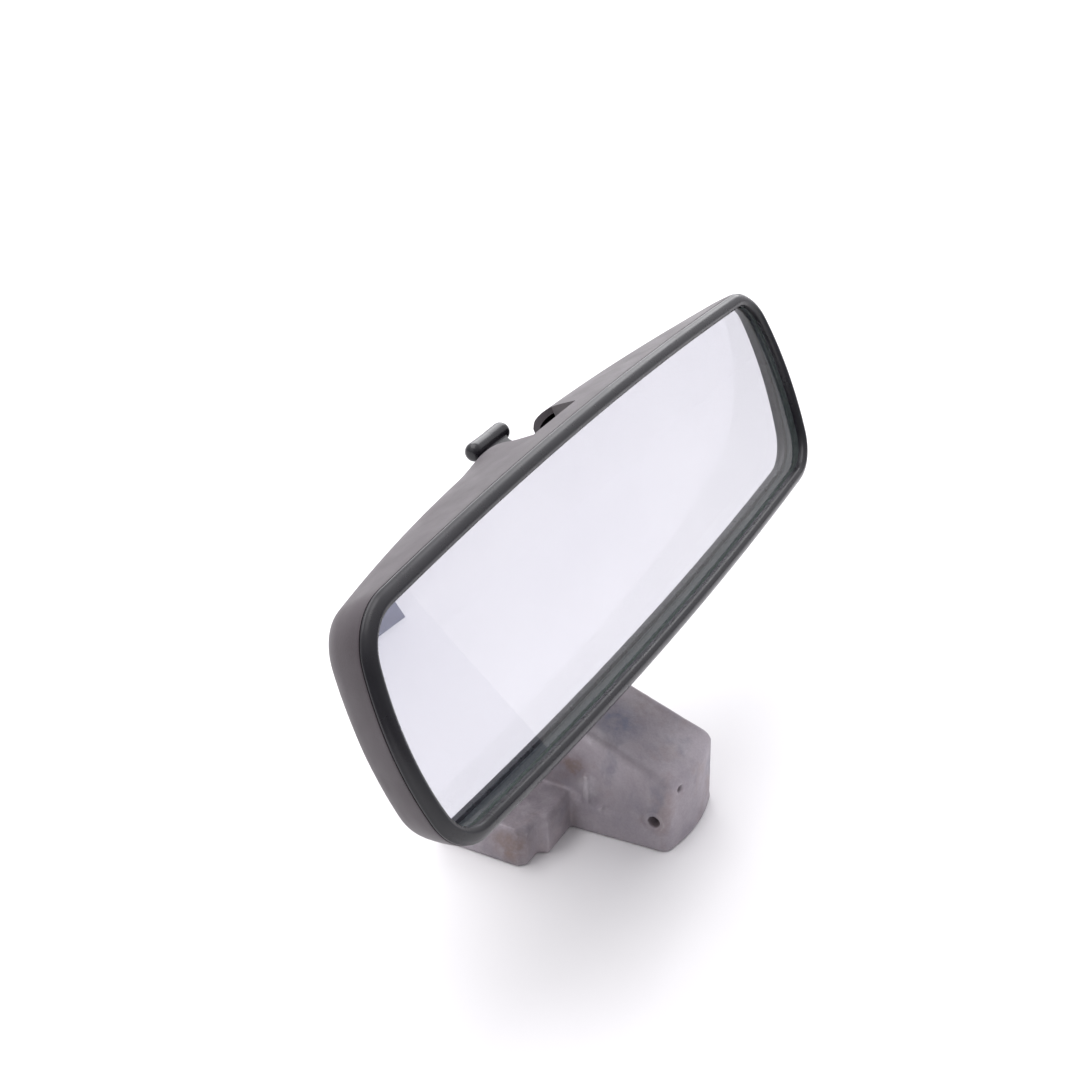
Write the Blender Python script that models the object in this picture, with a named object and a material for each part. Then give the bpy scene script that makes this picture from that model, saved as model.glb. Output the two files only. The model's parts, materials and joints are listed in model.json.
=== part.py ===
"""Interior rearview mirror: a day/night prism head on a ball joint and a die-cast windscreen foot.

The foot's windscreen face lies on the plane Z = 0, with the mirror upside down above it. X runs along
the mirror. Head pieces are drawn in the head's own frame: u along the mirror, v across the glass
towards the lever, w out of the glass, with the origin at the middle of the glass.
"""
from math import acos, atan2, cos, hypot, pi, radians, sin, tan

import bmesh
import bpy
from mathutils import Matrix, Vector

# ---- driving dimensions, in metres and radians ----
GAP = 0.0003                       # between pieces that touch
HEAD_CENTRE = Vector((0, 0, 0.0942))
HEAD_LEAN = radians(24.35)         # the glass leans back from upright
HEAD_TILT = pi / 2 - HEAD_LEAN

# glass opening in the bezel
HALF_LENGTH = 0.1154
HALF_HEIGHT = 0.0310
LONG_EDGE_RADIUS = 1.816
END_RADIUS = 0.0785
CORNER_RADIUS = 0.0120

# prism glass
GLASS_FRONT = -0.0015
GLASS_GROW = 0.0012                # how far the glass runs under the bezel's lip
GLASS_THICK = 0.0061               # at the edge away from the lever
GLASS_THIN = 0.0024

# rear housing
SEAM = -0.0016
WALL = 0.0016
HOUSING_GROW = 0.0044
DEPTH_MIDDLE = 0.0322
DEPTH_END = 0.0147
DEPTH_POWER = 1.86
# (share of the depth, how far the skin has turned in)
SKIN = ((0, 0), (0.16, 0.0003), (0.33, 0.0008), (0.51, 0.0015), (0.66, 0.0022), (0.79, 0.0031),
        (0.885, 0.0042), (0.96, 0.0057), (1.0, 0.0076))
BACK_REACH = 0.0814                # half length of the line that the back closes on
BACK_CROWN = 0.0006

# front bezel section, as (grow, w)
BEZEL_FACE = ((0, -0.0012), (0, -0.0002), (0.0003, 0.0005), (0.0009, 0.0010), (0.0016, 0.0012),
              (0.0025, 0.0009), (0.0033, 0.0003), (0.0039, -0.0004), (0.0043, -0.0009), (0.0044, -0.0013))
BEZEL_SKIRT = ((0.0021, -0.0013), (0.0021, -0.0040), (0.0015, -0.0040), (0.0015, -0.0012))

# day/night mechanism: pivot rod and lever axle as (v, w)
PIVOT = (-0.018, -0.0207)
AXLE = (0.020, -0.0220)
TIP_TRAVEL = radians(4.25)
LEVER_RATIO = 8
PLATE_THICK = 0.0014
ROD_RADIUS = 0.0013
AXLE_RADIUS = 0.0010
TAB_REACH = 0.0173                 # lever axle to the tab's centre
TAB_ANGLE = radians(-45)           # at rest, from +v towards +w

# ball joint, as (u, v, w)
BALL = Vector((0, -0.008, -0.040))
BALL_RADIUS = 0.0075
SOCKET_INNER = 0.0104
SOCKET_OUTER = 0.0130
MOUTH_ANGLE = radians(61)
EAR_U = 0.0165
RIVET = (0.0125, 0.0040)           # u and v
RIVET_BORE = 0.0016
DOWN = Vector((0, -sin(HEAD_TILT), -cos(HEAD_TILT)))    # world -Z in the head's frame
BACK = Vector((0, cos(HEAD_TILT), -sin(HEAD_TILT)))     # world +Y in the head's frame

# windscreen foot
SHOULDER_HALF = 0.0412
SHOULDER_TOP = 0.0115
STEP_HALF = 0.0320
SHOULDER_FRONT = 0.0110
STEP_FRONT = 0.0080
FOOT_BACK = 0.0420
LEDGE_TOP = 0.0092
LEDGE_HALF = 0.0162                # at the front; it widens to TONGUE_HALF at the shoulders
TONGUE_HALF = 0.0180
TONGUE_FRONT = -0.0243
FRONT_BOW = 0.0017
FRONT_SHARES = (0.3, 0.7)
CORNER_STEPS = 4
WEDGE_HALF = 0.0153
WEDGE_FRONT = -0.0240
WEDGE_TOP = 0.0223                 # at the front
WEDGE_RISE = 0.355                 # slope of the wedge's top
WITNESS_HOLE = (-0.0100, 0.0197)   # X and Z on the front
BOSS = (-0.0172, 0.0098)           # Y and Z of the cover screws' bosses
NECK_TOP = 0.0530
CHANNEL_START = 0.0120
CLIP_SCREWS = (("front", 0.0172), ("rear", 0.0358))
PIN_HEIGHT = 0.0450

BLACK_SATIN = ((0.028, 0.028, 0.032), 0.32, 0.0)
BLACK_MATTE = ((0.040, 0.037, 0.040), 0.62, 0.0)
BLACK_NYLON = ((0.050, 0.050, 0.052), 0.50, 0.0)
WHITE_NYLON = ((0.75, 0.74, 0.70), 0.45, 0.0)
CAST_METAL = ((0.36, 0.34, 0.37), 0.62, 0.6)
ZINC_PLATE = ((0.55, 0.55, 0.56), 0.35, 1.0)
DARK_STEEL = ((0.20, 0.20, 0.21), 0.40, 1.0)
BRIGHT_STEEL = ((0.68, 0.68, 0.69), 0.22, 1.0)
SILVERED = ((0.86, 0.87, 0.90), 0.04, 1.0)
FOAM = ((0.10, 0.10, 0.11), 0.95, 0.0)
BUMPER = ((0.03, 0.03, 0.03), 0.80, 0.0)


# ---- scene, materials and groups ----
def clear_scene():
    for old in list(bpy.data.objects):
        bpy.data.objects.remove(old, do_unlink=True)


def material(name, look):
    colour, roughness, metallic = look
    mat = bpy.data.materials.new(name)
    mat.use_nodes = True
    shader = mat.node_tree.nodes["Principled BSDF"]
    shader.inputs["Base Color"].default_value = (*colour, 1)
    shader.inputs["Roughness"].default_value = roughness
    shader.inputs["Metallic"].default_value = metallic
    mat.diffuse_color = (*colour, 1)
    return mat


class Group:
    """Pieces that move together: an empty on their joint, and that joint's place in the head's frame."""

    def __init__(self, name, at, parent=None):
        self.at = Vector(at)
        self.empty = bpy.data.objects.new(name, None)
        bpy.context.scene.collection.objects.link(self.empty)
        if parent is None:
            self.empty.rotation_euler = (HEAD_TILT, 0, 0)
            self.empty.location = HEAD_CENTRE + Matrix.Rotation(HEAD_TILT, 3, "X") @ self.at
        else:
            self.empty.parent = parent.empty
            self.empty.location = self.at - parent.at


def add_object(name, bm, group=None, look=None):
    """Turn a bmesh into a named object. A piece without a look is a cutter or a filler."""
    bmesh.ops.remove_doubles(bm, verts=bm.verts, dist=1e-6)
    bmesh.ops.recalc_face_normals(bm, faces=bm.faces)
    if group:
        bmesh.ops.translate(bm, vec=-group.at, verts=bm.verts)
    mesh = bpy.data.meshes.new(name)
    bm.to_mesh(mesh)
    bm.free()
    obj = bpy.data.objects.new(name, mesh)
    bpy.context.scene.collection.objects.link(obj)
    if group:
        obj.parent = group.empty
    if look:
        mesh.shade_smooth()
        mesh.set_sharp_from_angle(angle=radians(35))
        mesh.materials.append(material(name, look))
    else:
        obj.hide_render = True
        obj.display_type = "WIRE"
    return obj


def boolean(obj, other, operation):
    mod = obj.modifiers.new(operation.lower() + "_" + other.name, "BOOLEAN")
    mod.operation = operation
    mod.object = other
    mod.solver = "EXACT"


def cut(obj, *cutters):
    for cutter in cutters:
        boolean(obj, cutter, "DIFFERENCE")


def join(obj, *fillers):
    for filler in fillers:
        boolean(obj, filler, "UNION")


# ---- basic shapes ----
def box(bm, low, high):
    size = [b - a for a, b in zip(low, high)]
    middle = [(a + b) / 2 for a, b in zip(low, high)]
    matrix = Matrix.Translation(middle) @ Matrix.Diagonal((*size, 1))
    bmesh.ops.create_cube(bm, size=1, matrix=matrix)
    return bm


def new_box(low, high):
    return box(bmesh.new(), low, high)


def loft(sections, caps=True, closed=False):
    """Skin a list of point rings of equal length into a closed solid."""
    bm = bmesh.new()
    rings = [[bm.verts.new(p) for p in section] for section in sections]
    pairs = list(zip(rings, rings[1:]))
    if closed:
        pairs.append((rings[-1], rings[0]))
    count = len(rings[0])
    for lower, upper in pairs:
        for i in range(count):
            j = (i + 1) % count
            bm.faces.new((lower[i], lower[j], upper[j], upper[i]))
    if caps and not closed:
        bm.faces.new(rings[0][::-1])
        bm.faces.new(rings[-1])
    return bm


def axis_matrix(centre, axis):
    """Place +Z of a turned shape along axis, at centre."""
    turn = Vector((0, 0, 1)).rotation_difference(Vector(axis).normalized())
    return Matrix.Translation(centre) @ turn.to_matrix().to_4x4()


def turned(profile, centre, axis, steps=20):
    """Turn (radius, height) points about an axis. A profile that starts and ends on the axis is capped."""
    bm = bmesh.new()
    rings = []
    for radius, height in profile:
        if radius == 0:
            rings.append([bm.verts.new((0, 0, height))])
        else:
            angles = [2 * pi * i / steps for i in range(steps)]
            rings.append([bm.verts.new((radius * cos(a), radius * sin(a), height)) for a in angles])
    hollow = len(rings[0]) > 1
    pairs = list(zip(rings, rings[1:])) + ([(rings[-1], rings[0])] if hollow else [])
    for lower, upper in pairs:
        if len(lower) + len(upper) == 2:
            continue
        for i in range(steps):
            j = (i + 1) % steps
            corners = [lower[i % len(lower)], lower[j % len(lower)]]
            corners += [upper[j % len(upper)], upper[i % len(upper)]]
            bm.faces.new(list(dict.fromkeys(corners)))
    bmesh.ops.transform(bm, matrix=axis_matrix(centre, axis), verts=bm.verts)
    return bm


def rod(radius, low, high, centre, axis, steps=16):
    return turned([(0, low), (radius, low), (radius, high), (0, high)], centre, axis, steps)


def ring(inner, outer, low, high, centre, axis, steps=20):
    return turned([(inner, low), (outer, low), (outer, high), (inner, high)], centre, axis, steps)


def arc(radius, start, end, steps):
    """(radius, height) points on a circle about the origin, from one polar angle to another."""
    angles = [start + (end - start) * i / steps for i in range(steps + 1)]
    return [(radius * sin(a), radius * cos(a)) for a in angles]


def prism_x(points, half_width):
    """Extrude (y, z) or (v, w) points along X or u."""
    return loft([[(x, *p) for p in points] for x in (-half_width, half_width)])


def ellipse(centre, rx, ry, steps=24):
    angles = [2 * pi * i / steps for i in range(steps)]
    return [(centre[0] + rx * cos(a), centre[1] + ry * sin(a), centre[2]) for a in angles]


# ---- the mirror's outline ----
def outline(grow, end_steps=3, corner_steps=5, long_steps=6):
    """The opening's outline, grown outwards: tangent arcs for the ends, the corners and the long edges."""
    end_centre = HALF_LENGTH - END_RADIUS
    long_centre = HALF_HEIGHT - LONG_EDGE_RADIUS
    reach_end = END_RADIUS - CORNER_RADIUS
    reach_long = LONG_EDGE_RADIUS - CORNER_RADIUS
    apart = hypot(end_centre, long_centre)
    to_long = atan2(long_centre, -end_centre)
    spread = acos((reach_end ** 2 + apart ** 2 - reach_long ** 2) / (2 * reach_end * apart))
    turn = to_long + spread
    corner = (end_centre + reach_end * cos(turn), reach_end * sin(turn))
    end_angle = atan2(corner[1], corner[0] - end_centre)
    long_angle = atan2(corner[1] - long_centre, corner[0])
    arcs = [((end_centre, 0), END_RADIUS, 0, end_angle, end_steps),
            (corner, CORNER_RADIUS, end_angle, long_angle, corner_steps),
            ((0, long_centre), LONG_EDGE_RADIUS, long_angle, pi / 2, long_steps)]
    quarter = []
    for (cu, cv), radius, start, stop, steps in arcs:
        for i in range(steps):
            a = start + (stop - start) * i / steps
            quarter.append((cu + (radius + grow) * cos(a), cv + (radius + grow) * sin(a)))
    top = (0, HALF_HEIGHT + grow)
    right = quarter + [top]
    left = [(-u, v) for u, v in reversed(quarter)]
    upper = right + left
    return upper + [(u, -v) for u, v in reversed(upper[1:-1])]


def housing_depth(u):
    share = min(abs(u) / HALF_LENGTH, 1)
    return DEPTH_MIDDLE - (DEPTH_MIDDLE - DEPTH_END) * share ** DEPTH_POWER


def housing_skin(wall):
    """Rings of the housing's skin from the seam to the middle of the back, moved in by the wall."""
    rings = []
    for share, inset in SKIN:
        flat = outline(HOUSING_GROW - wall - inset)
        rings.append([(u, v, SEAM - share * (housing_depth(u) - wall + SEAM)) for u, v in flat])
    rim = rings[-1]
    for share in (0.35, 0.7, 0.93):
        inner = []
        for u, v, _ in rim:
            mid = max(-BACK_REACH, min(BACK_REACH, u))
            nu = u + (mid - u) * share
            inner.append((nu, v * (1 - share), wall - housing_depth(nu) - BACK_CROWN * share))
        rings.append(inner)
    return rings


def close_middle(bm, verts):
    """Close a narrow ring by joining each point to its mirror image across u."""
    half = len(verts) // 2
    for i in range(half):
        a, b = verts[i], verts[i + 1]
        c, d = verts[-(i + 1) % len(verts)], verts[-i % len(verts)]
        bm.faces.new(list(dict.fromkeys((a, b, c, d))))


# ---- mirror head ----
def make_housing(group):
    outer = housing_skin(0)
    inner = housing_skin(WALL)
    bm = loft(inner[::-1] + outer, caps=False)
    bm.verts.ensure_lookup_table()
    count = len(outer[0])
    close_middle(bm, bm.verts[:count])
    close_middle(bm, bm.verts[-count:])
    housing = add_object("rear_housing", bm, group, BLACK_MATTE)
    join(housing, *housing_lugs(group), *housing_ribs(group))
    cut(housing, socket_opening(group), lever_notch(group), rod_bore(group), axle_bore(group),
        spring_slot(group))
    return housing


def housing_lugs(group):
    """Posts inside the back that carry the pivot rod and the lever axle."""
    lugs = []
    pv, pw = PIVOT
    av, aw = AXLE
    for side, sign in (("left", -1), ("right", 1)):
        u0, u1 = sorted((sign * 0.030, sign * 0.034))
        low = (u0, pv - 0.004, WALL / 2 - housing_depth(0.034))
        lugs.append(add_object("fill_rod_lug_" + side, new_box(low, (u1, pv + 0.004, pw + 0.0042)), group))
        u0, u1 = sorted((sign * 0.0175, sign * 0.0215))
        low = (u0, av - 0.0045, WALL / 2 - housing_depth(0.0215))
        lugs.append(add_object("fill_axle_lug_" + side, new_box(low, (u1, av + 0.0035, aw + 0.0062)), group))
    return lugs


def housing_ribs(group):
    """Upright ribs inside the back, which back the glass pad."""
    ribs = []
    for name, u in (("far_left", -0.092), ("left", -0.056), ("right", 0.056), ("far_right", 0.092)):
        low = (u - 0.0008, -0.018, WALL / 2 - housing_depth(abs(u) + 0.001))
        ribs.append(add_object("fill_rib_" + name, new_box(low, (u + 0.0008, 0.018, -0.0084)), group))
    return ribs


def socket_opening(group):
    centre = (0, BALL.y, 0)
    rings = [[(u, v, w) for u, v, _ in ellipse(centre, 0.0150, 0.0155)] for w in (-0.038, -0.026)]
    return add_object("cut_socket_opening", loft(rings), group)


def lever_notch(group):
    half = 0.0170
    points = [(0.0236, -0.050), (0.0236, -0.0262), (0.0256, -0.0225), (0.045, -0.0225), (0.045, -0.050)]
    return add_object("cut_lever_notch", prism_x(points, half), group)


def rod_bore(group):
    bm = rod(ROD_RADIUS + GAP, -0.040, 0.040, (0, *PIVOT), (1, 0, 0))
    return add_object("cut_rod_bore", bm, group)


def axle_bore(group):
    bm = rod(AXLE_RADIUS + GAP, -0.024, 0.024, (0, *AXLE), (1, 0, 0), 12)
    return add_object("cut_axle_bore", bm, group)


def spring_slot(group):
    av, aw = AXLE
    low = (-0.024, av - 0.0012, aw + 0.0032)
    return add_object("cut_spring_slot", new_box(low, (0.024, av + 0.0030, aw + 0.0045)), group)


def make_bezel(group):
    """The front ring: rounded lip over the glass, seam face, and a skirt inside the housing."""
    rings = [[(u, v, w) for u, v in outline(grow)] for grow, w in BEZEL_FACE + BEZEL_SKIRT]
    bm = loft(rings, closed=True)
    return add_object("front_bezel", bm, group, BLACK_SATIN)


def glass_back(v):
    edge = HALF_HEIGHT + GLASS_GROW
    middle = (GLASS_THICK + GLASS_THIN) / 2
    return GLASS_FRONT - middle + (GLASS_THICK - GLASS_THIN) / 2 * v / edge


def make_glass(group):
    flat = outline(GLASS_GROW)
    small = outline(GLASS_GROW - 0.0004)
    rings = [[(u, v, glass_back(v)) for u, v in flat], [(u, v, GLASS_FRONT - 0.0004) for u, v in flat],
             [(u, v, GLASS_FRONT) for u, v in small]]
    return add_object("mirror_glass", loft(rings), group, SILVERED)


def make_pad(group):
    flat = outline(-0.0050)
    rings = [[(u, v, glass_back(v) - GAP - drop) for u, v in flat] for drop in (0.0010, 0)]
    return add_object("glass_backing_pad", loft(rings), group, FOAM)


def make_rod(group):
    profile = [(0, -0.0372), (0.0009, -0.0372), (ROD_RADIUS, -0.0368), (ROD_RADIUS, 0.0368),
               (0.0009, 0.0372), (0, 0.0372)]
    add_object("pivot_rod", turned(profile, (0, *PIVOT), (1, 0, 0), 16), group, BRIGHT_STEEL)
    for side, sign in (("left", -1), ("right", 1)):
        bm = ring(ROD_RADIUS + GAP / 2, 0.0032, -0.0004, 0.0004, (sign * 0.0350, *PIVOT), (1, 0, 0))
        add_object("rod_clip_" + side, bm, group, DARK_STEEL)


def make_toggle_spring(group):
    """A leaf across the lever's hub, with turned-down ends."""
    v0, v1 = AXLE[0] - 0.0008, AXLE[0] + 0.0026
    top = AXLE[1] + 0.0041
    thick = 0.0005
    line = [(-0.0232, top - 0.0022), (-0.0226, top), (0.0226, top), (0.0232, top - 0.0022)]
    under = [(0.0226, top - 0.0022), (0.0221, top - thick), (-0.0221, top - thick), (-0.0226, top - 0.0022)]
    bm = loft([[(u, v, w) for u, w in line + under] for v in (v0, v1)])
    return add_object("toggle_spring", bm, group, BRIGHT_STEEL)


def make_lever(head, group):
    """Hub with a forked cam, an arm and a rounded T-bar tab, drawn at mid travel and turned back."""
    steps = 18
    centre = (0, *AXLE)
    hub = ring(AXLE_RADIUS + GAP, 0.0032, -0.0165, 0.0165, centre, (1, 0, 0), steps)
    lever = add_object("day_night_lever", hub, group, BLACK_SATIN)
    half_turn = TIP_TRAVEL * LEVER_RATIO / 2
    turn = Matrix.Rotation(-half_turn, 4, "X")
    back = Matrix.Translation(centre) @ turn @ Matrix.Translation(-Vector(centre))

    def turn_back(bm):
        bmesh.ops.transform(bm, matrix=back, verts=bm.verts)
        return bm

    av, aw = AXLE
    for name, sign in (("rear", -1), ("front", 1)):
        tooth = [(av - 0.0010, aw + sign * 0.0012), (av - 0.0030, aw + sign * 0.00135),
                 (av - 0.0064, aw + sign * 0.0018), (av - 0.0064, aw + sign * 0.0026),
                 (av - 0.0010, aw + sign * 0.0029)]
        join(lever, add_object("fill_cam_" + name, turn_back(prism_x(tooth, 0.0100)), group))
    reach = Vector((0, cos(TAB_ANGLE), sin(TAB_ANGLE)))
    across = Vector((0, -sin(TAB_ANGLE), cos(TAB_ANGLE)))
    hub_side, tab_side = 0.0018, TAB_REACH - 0.0010
    corners = [reach * hub_side + across * 0.0016, reach * hub_side - across * 0.0016,
               reach * tab_side - across * 0.0013, reach * tab_side + across * 0.0013]
    arm = prism_x([(av + p.y, aw + p.z) for p in corners], 0.0052)
    tab_half, tab_radius, nose = 0.0097, 0.0028, 0.0022
    profile = [(0, -tab_half), (0.0013, -tab_half + 0.0002), (0.0023, -tab_half + 0.0009),
               (tab_radius, -tab_half + nose), (tab_radius, tab_half - nose),
               (0.0023, tab_half - 0.0009), (0.0013, tab_half - 0.0002), (0, tab_half)]
    tab = turned(profile, Vector(centre) + reach * TAB_REACH, (1, 0, 0), 20)
    join(lever, add_object("fill_lever_arm", arm, group), add_object("fill_lever_tab", tab, group))
    bore = rod(AXLE_RADIUS + GAP, -0.018, 0.018, centre, (1, 0, 0), steps)
    cut(lever, add_object("cut_lever_bore", bore, group))
    axle = rod(AXLE_RADIUS, -0.0222, 0.0222, centre, (1, 0, 0), 12)
    add_object("lever_axle", axle, head, BRIGHT_STEEL)
    return lever


# ---- day/night bracket and ball socket ----
def make_bracket(group):
    """A steel plate: knuckles round the pivot rod at one edge, a tongue in the lever's cam at the other."""
    pv, pw = PIVOT
    half = PLATE_THICK / 2
    right = [(0.0266, pv + 0.0018), (0.0266, 0.0080), (0.0240, 0.0105), (0.0105, 0.0105), (0.0092, 0.0118),
             (0.0092, 0.0166)]
    plan = right + [(-u, v) for u, v in reversed(right)]
    bm = loft([[(u, v, w) for u, v in plan] for w in (pw - half, pw + half)])
    bracket = add_object("toggle_bracket", bm, group, ZINC_PLATE)
    knuckles = []
    bores = []
    for side, sign in (("left", -1), ("right", 1)):
        at = (sign * 0.0218, *PIVOT)
        knuckle = rod(0.0029, -0.0051, 0.0051, at, (1, 0, 0), 18)
        knuckles.append(add_object("fill_knuckle_" + side, knuckle, group))
        at = (sign * RIVET[0], RIVET[1], pw)
        hole = rod(RIVET_BORE, -0.004, 0.004, at, (0, 0, 1), 12)
        bores.append(add_object("cut_rivet_bore_" + side, hole, group))
    join(bracket, *knuckles)
    bore = rod(ROD_RADIUS + GAP, -0.030, 0.030, (0, *PIVOT), (1, 0, 0), 18)
    cut(bracket, add_object("cut_knuckle_bore", bore, group), *bores)
    return bracket


def mouth_cone(name, half_angle, reach, group):
    """A cone from the ball's centre, down along the neck, that opens a cup."""
    start = 0.0006
    profile = [(0, start), (start * tan(half_angle), start), (reach * tan(half_angle), reach), (0, reach)]
    return add_object(name, turned(profile, BALL, DOWN, 22), group)


def cup(name, inner, outer, half_angle, group, look):
    """A spherical cup round the ball, open towards the neck."""
    steps = 9
    skin = arc(outer, pi - half_angle, 0, steps)
    lining = arc(inner, 0, pi - half_angle, steps)
    profile = [(max(r, 0), -h) for r, h in skin[:-1]] + [(0, -outer)]
    inside = [(0, -inner)] + [(r, -h) for r, h in lining[1:]]
    return add_object(name, turned(profile + inside, BALL, DOWN, 24), group, look)


def socket_ears(name, low, high, group):
    """Screw ears either side of the ball, between two heights along BACK."""
    half_wide = 0.0040
    bars = []
    for side, sign in (("left", -1), ("right", 1)):
        bm = new_box((-0.0045, -half_wide, low), (0.0045, half_wide, high))
        across = BACK.cross(Vector((1, 0, 0)))
        turn = Matrix((Vector((1, 0, 0)), across, BACK)).transposed().to_4x4()
        place = Matrix.Translation(BALL + Vector((sign * (EAR_U - 0.0005), 0, 0))) @ turn
        bmesh.ops.transform(bm, matrix=place, verts=bm.verts)
        bars.append(add_object(name + "_" + side, bm, group))
    return bars


def half_space(name, offset, sign, group):
    """A big block on one side of the socket's split plane."""
    size = 0.030
    low, high = sorted((offset, offset + sign * size))
    bm = new_box((-size, -size, low), (size, size, high))
    across = BACK.cross(Vector((1, 0, 0)))
    turn = Matrix((Vector((1, 0, 0)), across, BACK)).transposed().to_4x4()
    bmesh.ops.transform(bm, matrix=Matrix.Translation(BALL) @ turn, verts=bm.verts)
    return add_object(name, bm, group)


def ear_bores(name, radius, low, high, group):
    bores = []
    for side, sign in (("left", -1), ("right", 1)):
        at = BALL + Vector((sign * EAR_U, 0, 0))
        bores.append(add_object(name + "_" + side, rod(radius, low, high, at, BACK, 14), group))
    return bores


def make_socket(group):
    plate_back = PIVOT[1] - PLATE_THICK / 2 - GAP
    body = socket_ball("socket_housing", group, BLACK_NYLON)
    flange = new_box((-0.0165, -0.0153, -0.0246), (0.0165, 0.0085, plate_back))
    pedestal = rod(0.0106, -0.041, -0.0240, (0, BALL.y, 0), (0, 0, 1), 26)
    join(body, add_object("fill_socket_pedestal", pedestal, group),
         add_object("fill_socket_flange", flange, group),
         *socket_ears("fill_housing_ear", -0.0055, 0.0010, group))
    cut(body, half_space("cut_socket_back", -GAP / 2, 1, group), ball_cavity("cut_socket_cavity", group),
        mouth_cone("cut_socket_mouth", MOUTH_ANGLE, 0.022, group),
        *ear_bores("cut_housing_thread", 0.0013, -0.0045, 0.002, group), *rivet_holes(group))
    cap = socket_ball("socket_cap", group, BLACK_NYLON)
    join(cap, *socket_ears("fill_cap_ear", -0.0010, 0.0030, group))
    cut(cap, half_space("cut_cap_front", GAP / 2, -1, group), ball_cavity("cut_cap_cavity", group),
        mouth_cone("cut_cap_mouth", MOUTH_ANGLE, 0.022, group),
        *ear_bores("cut_cap_bore", 0.0015, -0.001, 0.005, group))
    for side, sign in (("left", -1), ("right", 1)):
        at = BALL + Vector((sign * EAR_U, 0, 0))
        bm = ring(0.0014, 0.0027, 0.0030 + GAP, 0.0038, at, BACK, 16)
        add_object("spring_washer_" + side, bm, group, ZINC_PLATE)
        make_screw("socket_screw_" + side, at, BACK, 0.0038 + GAP, 0.0041, 0.0010, 0.0024, group)
        rivet = turned([(0, 0.0010), (0.0024, 0.0010), (0.0019, 0.0018), (0, 0.0021)],
                       (sign * RIVET[0], RIVET[1], PIVOT[1]), (0, 0, 1), 14)
        shank = rod(0.0013, -0.0034, 0.0012, (sign * RIVET[0], RIVET[1], PIVOT[1]), (0, 0, 1), 12)
        piece = add_object("bracket_rivet_" + side, rivet, group, ZINC_PLATE)
        join(piece, add_object("fill_rivet_shank_" + side, shank, group))
    return cap


def rivet_holes(group):
    holes = []
    for side, sign in (("left", -1), ("right", 1)):
        bm = rod(RIVET_BORE, -0.006, 0.002, (sign * RIVET[0], RIVET[1], PIVOT[1]), (0, 0, 1), 12)
        holes.append(add_object("cut_flange_rivet_" + side, bm, group))
    return holes


def sphere(radius, steps):
    side = [(r, -h) for r, h in arc(radius, 0, pi, steps)[1:-1]]
    return turned([(0, -radius)] + side + [(0, radius)], BALL, DOWN, 28)


def socket_ball(name, group, look):
    """The socket's outer ball, before it is cut."""
    return add_object(name, sphere(SOCKET_OUTER, 14), group, look)


def ball_cavity(name, group):
    return add_object(name, sphere(SOCKET_INNER, 12), group)


def make_screw(name, at, axis, seat, length, shank, head, group=None):
    """A pan-head screw: the head's underside at seat, the shank running back from it, a cross recess."""
    tall = head * 0.75
    profile = [(0, seat - length), (shank, seat - length), (shank, seat), (head, seat),
               (head, seat + tall * 0.6), (head * 0.7, seat + tall), (0, seat + tall)]
    screw = add_object(name, turned(profile, at, axis, 16), group, ZINC_PLATE)
    place = axis_matrix(at, axis)
    for turn, label in ((0, "a"), (pi / 2, "b")):
        bm = new_box((-head * 0.55, -head * 0.12, seat + tall * 0.45),
                     (head * 0.55, head * 0.12, seat + tall * 2))
        bmesh.ops.transform(bm, matrix=place @ Matrix.Rotation(turn, 4, "Z"), verts=bm.verts)
        cut(screw, add_object("cut_" + name + "_recess_" + label, bm, group))
    return screw


def make_bumpers(group):
    back = PIVOT[1] - PLATE_THICK / 2 - GAP / 2
    for side, sign in (("left", -1), ("right", 1)):
        profile = [(0, back), (0.0026, back), (0.0026, back - 0.0014), (0.0018, back - 0.0022),
                   (0, back - 0.0022)]
        bm = turned(profile[::-1], (sign * 0.0225, 0.0060, 0), (0, 0, 1), 16)
        add_object("stop_bumper_" + side, bm, group, BUMPER)


# ---- windscreen foot ----
def wedge_top(y):
    return WEDGE_TOP + WEDGE_RISE * (y - WEDGE_FRONT)


def make_foot():
    """The casting: T-shaped base, a wedge-shaped tongue above its ledge, the neck, ribs and bosses."""
    foot = add_object("windscreen_foot", foot_base(), None, CAST_METAL)
    join(foot, wedge_body(), neck_body(), *side_ribs(), *corner_ribs(), *screw_bosses())
    cut(foot, *bottom_pockets(), *button_channel(), *foot_bores())
    return foot


def base_ring(inset, share):
    """One level of the base: the tongue's rounded front, its ledge, the stepped shoulders and the back."""
    soft = 0.0022
    half, back = SHOULDER_HALF - inset, FOOT_BACK - inset
    step, front = STEP_FRONT + inset, SHOULDER_FRONT + inset
    plan = [(x, y, LEDGE_TOP) for x, y in front_points(LEDGE_HALF - inset, TONGUE_FRONT + inset, 0.0034)]
    plan += [(TONGUE_HALF - 0.0006 - inset, 0.0, LEDGE_TOP), (TONGUE_HALF - inset, step, SHOULDER_TOP),
             (STEP_HALF - inset, step, SHOULDER_TOP), (STEP_HALF + 0.0010, front, SHOULDER_TOP),
             (half - soft, front, SHOULDER_TOP), (half, front + soft, SHOULDER_TOP),
             (half, back - soft, SHOULDER_TOP), (half - soft, back, SHOULDER_TOP)]
    right = [(x, y, top * share) for x, y, top in plan]
    return right + [(-x, y, z) for x, y, z in reversed(right)]


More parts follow.
